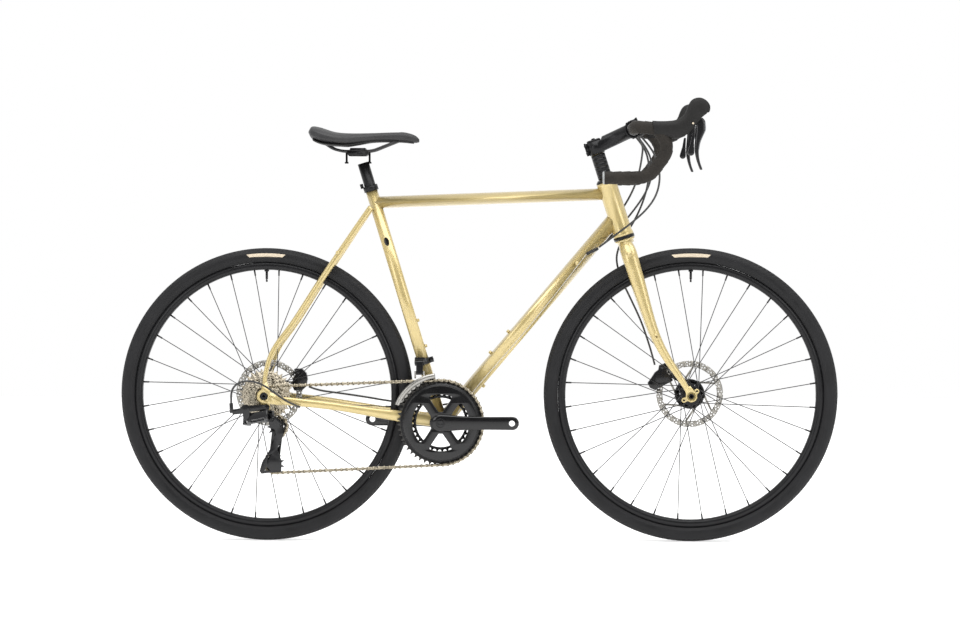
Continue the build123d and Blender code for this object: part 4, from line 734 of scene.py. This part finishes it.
def cut_corners(points, rounds=2):
    """Rounds a closed outline by cutting its corners."""
    for _ in range(rounds):
        cut = []
        for a, b in zip(points, points[1:] + points[:1]):
            a, b = Vector(a), Vector(b)
            cut += [tuple(a.lerp(b, 0.25)), tuple(a.lerp(b, 0.75))]
        points = cut
    return points


def plate(name, outlines, y0, y1, edge, material, body):
    """Flat piece with rounded edges, from closed outlines in side view; inner ones are holes."""
    curve = bpy.data.curves.new(name, "CURVE")
    curve.dimensions = "2D"
    curve.fill_mode = "BOTH"
    for outline in outlines:
        spline = curve.splines.new("POLY")
        spline.points.add(len(outline) - 1)
        for point, (x, z) in zip(spline.points, outline):
            point.co = (x, z, 0, 1)
        spline.use_cyclic_u = True
    curve.extrude = (y1 - y0) / 2 - edge
    curve.bevel_depth = edge
    curve.bevel_resolution = 3
    curve.offset = -edge
    holder = bpy.data.objects.new(name + "_outline", curve)
    bpy.context.scene.collection.objects.link(holder)
    bpy.context.view_layer.update()
    mesh = bpy.data.meshes.new_from_object(holder.evaluated_get(bpy.context.evaluated_depsgraph_get()))
    bpy.data.objects.remove(holder)
    mesh.transform(Matrix.Translation((0, (y0 + y1) / 2, 0)) @ Matrix.Rotation(math.pi / 2, 4, "X"))
    tidy = bmesh.new()
    tidy.from_mesh(mesh)
    bmesh.ops.remove_doubles(tidy, verts=tidy.verts, dist=1e-6)
    bmesh.ops.recalc_face_normals(tidy, faces=tidy.faces)
    tidy.to_mesh(mesh)
    tidy.free()
    return place_mesh(name, mesh, material, body, 40)


def round_outline(centre, radius, count=96):
    return [(centre.x + radius * math.cos(t), centre.z + radius * math.sin(t))
            for t in [2 * math.pi * i / count for i in range(count)]]


def cylinder(name, centre, y0, y1, radius, count=64):
    return prism(name, round_outline(centre, radius, count), y0, y1)


spider_angles = (56, 124, 236, 304)
spider_reach = 89 * mm
window_reach = 68 * mm
hub_reach = 26 * mm
arm_half = 10.5 * mm


def spider_window(first, last):
    """Gap between two spider arms, bounded by their edges, the hub and the outer ring."""
    gap = math.radians(last - first) / 2
    middle = math.radians(first + last) / 2
    inner = max(hub_reach, arm_half / math.sin(gap) + 2 * mm)
    points = []
    for radius, order in ((window_reach, 1), (inner, -1)):
        half = gap - math.asin(min(1, arm_half / radius))
        steps = 8 if half * radius > 4 * mm else 1
        for i in range(steps + 1):
            turn = middle + order * half * (2 * i / steps - 1)
            points.append((bracket.x + radius * math.cos(turn), bracket.z + radius * math.sin(turn)))
    return cut_corners(points)


crank_length = 170
pedal_bore = 7.14 * mm
spindle_bore = 11 * mm


def arm_stations(way, hub_y, tip_y):
    """Stations along a crank arm: x, outer y, inner y and half height, in metres."""
    length = crank_length
    rows = ((-21, 6, 2, 5), (-18, 3, 0.5, 13), (-8, 0.6, 0, 19), (6, -0.5, 0, 20), (28, -1.5, 1.5, 18.6),
            (60, -2.5, 6, 16.4), (110, -4.2, 8.2, 15.6), (length - 12, -6.2, 10.2, 15.9),
            (length + 3, -7.4, 11, 15.8), (length + 11, -7.2, 11.2, 12.6), (length + 15.5, -5.5, 12.6, 6.5),
            (length + 16.6, -3.4, 14, 2.2))
    return [(bracket.x + way * x * mm, hub_y - out * mm, tip_y + inner * mm, half * mm)
            for x, out, inner, half in rows]


def crank_arm(word, side, way, outer, inner):
    rings = []
    for x, out, into, half in through(arm_stations(way, outer, inner), 6):
        centre = (out + into) / 2
        reach = abs(out - into) / 2
        ring = []
        for j in range(40):
            a = 2 * math.pi * j / 40
            c, s = math.cos(a), math.sin(a)
            y = centre + reach * math.copysign(abs(c) ** 0.62, c)
            ring.append((x, side * y, bracket.z + half * math.copysign(abs(s) ** 0.62, s)))
        rings.append(ring)
    vertices, faces = bridge(rings)
    arm = add_mesh(f"crank_arm_{word}", vertices, faces, gloss_black, "crankset", 60)
    tip = Vector((bracket.x + way * crank_length * mm, 0, bracket.z))
    low, high = sorted((side * 80 * mm, side * 50 * mm))
    subtract(arm, cylinder("pedal_hole", tip, low, high, pedal_bore))
    low, high = sorted((side * 80 * mm, side * 60.5 * mm))
    subtract(arm, cylinder("spindle_hole", bracket, low, high, spindle_bore))
    arm.data.shade_smooth()
    arm.data.set_sharp_from_angle(angle=math.radians(50))
    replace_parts(arm, f"crank_{word}")
    low, high = sorted((side * 61 * mm, side * 62.6 * mm))
    rings = [round_outline(bracket, 9.4 * mm), round_outline(bracket, 4 * mm, 8)]
    plate(f"crank_cap_{word}", rings, low, high, 0.4 * mm, mech_black, "crankset")


crank_arm("right", -1, 1, 65.0 * mm, 49.4 * mm)
crank_arm("left", 1, -1, 63.0 * mm, 46.5 * mm)
windows = [spider_window(a, b) for a, b in zip(spider_angles, spider_angles[1:] + (spider_angles[0] + 360,))]
plate("crank_spider", [round_outline(bracket, spider_reach, 160)] + windows, -56.5 * mm, -49.2 * mm, 1.8 * mm,
      gloss_black, "crankset")
plate("crank_spindle", [round_outline(bracket, 12 * mm), round_outline(bracket, 10.5 * mm)], -49.5 * mm,
      60 * mm, 0.3 * mm, bare_steel, "crankset")


# Cables: smooth housings through listed points.

housing_radius = 2.4 * mm
wire_radius = 0.8 * mm

bar_loops = (
    ((378, -66, 968), (392, -55, 950), (389, -38, 915), (383, -14, 880), (372, 12, 845), (352, 31, 806),
     (328, 37, 775), (302, 32, 750)),
    ((384, -84, 968), (410, -82, 940), (426, -74, 905), (432, -64, 868), (424, -54, 828), (400, -46, 793),
     (362, -40, 760), (323, -34, 731), (288.5, -28.6, 705)),
    ((384, 84, 968), (408, 84, 938), (418, 78, 900), (414, 70, 862), (398, 61, 828), (374, 51, 794),
     (346, 42, 760), (317, 34, 729), (288.5, 28.6, 705)),
)
front_hose = ((378, 66, 968), (398, 62, 945), (410, 58, 905), (408, 54, 860), (396, 49, 815), (376, 43, 770),
              (352, 36, 733), (334, 40, 700), (330, 50, 668), (345, 58, 622), (368, 61, 575),
              (391, 61.5, 526), (407, 61, 480), (418, 58, 444), (424, 52, 420))
rear_hose = ((296, 30.5, 743), (270, 25, 716), (230, 22, 670), (160, 20, 588), (90, 20, 505), (30, 21, 434),
             (-20, 26, 375), (-52, 33, 336), (-80, 44, 322), (-140, 47, 324), (-205, 49, 330),
             (-285, 55, 343), (-345, 60, 351), (-392, 60, 357), (-412, 56, 366))
gear_loop = ((-420, -83, 326), (-444, -86, 335), (-471, -88, 353), (-499, -88, 374), (-522, -87, 385),
             (-548, -86, 389), (-569, -85, 383), (-582, -84, 369), (-585, -84, 352), (-584.4, -84, 335))


def cable(name, route, radius, material, body=None):
    curve = bpy.data.curves.new(name, "CURVE")
    curve.dimensions = "3D"
    spline = curve.splines.new("NURBS")
    spline.points.add(len(route) - 1)
    for point, (x, y, z) in zip(spline.points, route):
        point.co = (x * mm, y * mm, z * mm, 1)
    spline.order_u = 3
    spline.use_endpoint_u = True
    spline.resolution_u = 12
    curve.bevel_depth = radius
    curve.bevel_resolution = 5
    curve.use_fill_caps = True
    holder = bpy.data.objects.new(name + "_line", curve)
    bpy.context.scene.collection.objects.link(holder)
    bpy.context.view_layer.update()
    mesh = bpy.data.meshes.new_from_object(holder.evaluated_get(bpy.context.evaluated_depsgraph_get()))
    bpy.data.objects.remove(holder)
    return place_mesh(name, mesh, material, body, 60)


loop_names = ("rear_brake_hose_loop", "right_gear_loop", "left_gear_loop")
loops = [cable(name, route, housing_radius, housing) for name, route in zip(loop_names, bar_loops)]
for obj, route in zip(loops, bar_loops):
    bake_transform(obj)
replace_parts(loops[0], "bar_cables")
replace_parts(cable("front_hose", front_hose, housing_radius, housing, "steering"), "front_brake_hose")
rear_line = cable("rear_hose", rear_hose, housing_radius, housing, "frame")
cable("rear_gear_loop", gear_loop, housing_radius, housing, "frame")
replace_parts(rear_line, "frame_cables")
for word, side in sides:
    wire = ((258, side * 30.4, 688.5), (150, side * 24, 545), (-38, side * 20.5, 333), (-72, side * 15, 264),
            (-96, side * 12, 264))
    cable(f"gear_wire_{word}", wire, wire_radius, bare_steel, "frame")
    back = Vector((258, side * 30.4, 688.5)) * mm
    front = Vector((286, side * 28, 702)) * mm
    direction = (front - back).normalized()
    turn = direction.to_track_quat("Z", "X").to_matrix()
    length = (front - back).length
    profile = [(0.0, 2.0), (0.0, 3.0), (0.13, 4.2)]
    for k in range(9):
        profile += [(0.16 + 0.07 * k, 4.25), (0.16 + 0.07 * k + 0.035, 3.85)]
    profile += [(0.86, 4.2), (1.0, 3.2), (1.0, 2.2)]
    rings = [[back + turn @ Vector((math.cos(t) * r * mm, math.sin(t) * r * mm, share * length))
              for t in [2 * math.pi * j / 28 for j in range(28)]] for share, r in profile]
    vertices, faces = bridge(rings)
    add_mesh(f"barrel_adjuster_{word}", vertices, faces, mech_black, "frame")


# Stage, lights and camera

floor_mesh = bpy.data.meshes.new("floor")
floor_mesh.from_pydata([(-12, -12, 0), (12, -12, 0), (12, 5, 0), (-12, 5, 0)], [], [(0, 1, 2, 3)])
floor = bpy.data.objects.new("floor", floor_mesh)
floor.location.z = cad_low.z
bpy.context.scene.collection.objects.link(floor)
pale = surface("floor_pale", (0.88, 0.88, 0.88), 0.8, vary=0.01, vary_scale=2.0, bump=0.02)
pale.node_tree.nodes["Principled BSDF"].inputs["Emission Color"].default_value = (1, 1, 1, 1)
pale.node_tree.nodes["Principled BSDF"].inputs["Emission Strength"].default_value = 0.42
floor_mesh.materials.append(pale)

world = bpy.data.worlds.new("studio")
world.use_nodes = True
sky_nodes = world.node_tree.nodes
sky_links = world.node_tree.links
sky_place = sky_nodes.new("ShaderNodeTexCoord")
sky_parts = sky_nodes.new("ShaderNodeSeparateXYZ")
sky_links.new(sky_place.outputs["Generated"], sky_parts.inputs["Vector"])
glow = spread(sky_nodes, sky_links, sky_parts.outputs["Y"], 0.22, 1.0, -0.85, 0.1)
seen = sky_nodes.new("ShaderNodeLightPath")
brightest = sky_nodes.new("ShaderNodeMath")
brightest.operation = "MAXIMUM"
sky_links.new(glow, brightest.inputs[0])
sky_links.new(seen.outputs["Is Camera Ray"], brightest.inputs[1])
backdrop = sky_nodes["Background"]
backdrop.inputs["Color"].default_value = (1, 1, 1, 1)
sky_links.new(brightest.outputs["Value"], backdrop.inputs["Strength"])
bpy.context.scene.world = world
bpy.context.scene.view_settings.view_transform = "Standard"


def area_light(name, location, target, width, height, power):
    lamp = bpy.data.lights.new(name, "AREA")
    lamp.shape = "RECTANGLE"
    lamp.size = width
    lamp.size_y = height
    lamp.energy = power
    obj = bpy.data.objects.new(name, lamp)
    bpy.context.scene.collection.objects.link(obj)
    obj.location = location
    aim = Vector(target) - Vector(location)
    obj.rotation_mode = "QUATERNION"
    obj.rotation_quaternion = aim.to_track_quat("-Z", "Y")


area_light("overhead", (0.3, -1.2, 4.2), (0, 0, 0.4), 5.0, 3.0, 150)
area_light("front_left", (-3.6, -4.2, 2.2), (0, 0, 0.5), 2.2, 3.0, 60)
area_light("front_right", (3.8, -4.0, 2.4), (0, 0, 0.5), 2.2, 3.0, 60)

camera_data = bpy.data.cameras.new("camera")
camera_data.lens = 105.03
camera_data.sensor_width = 36
camera_data.clip_start = 0.1
camera_data.clip_end = 200
camera = bpy.data.objects.new("camera", camera_data)
bpy.context.scene.collection.objects.link(camera)
camera.location = (0.18804, -6.69880, 0.80281)
look = Vector((-0.02743778, 0.99879528, -0.04068366))
camera.rotation_mode = "QUATERNION"
camera.rotation_quaternion = look.to_track_quat("-Z", "Y")
bpy.context.scene.camera = camera

bpy.context.view_layer.update()
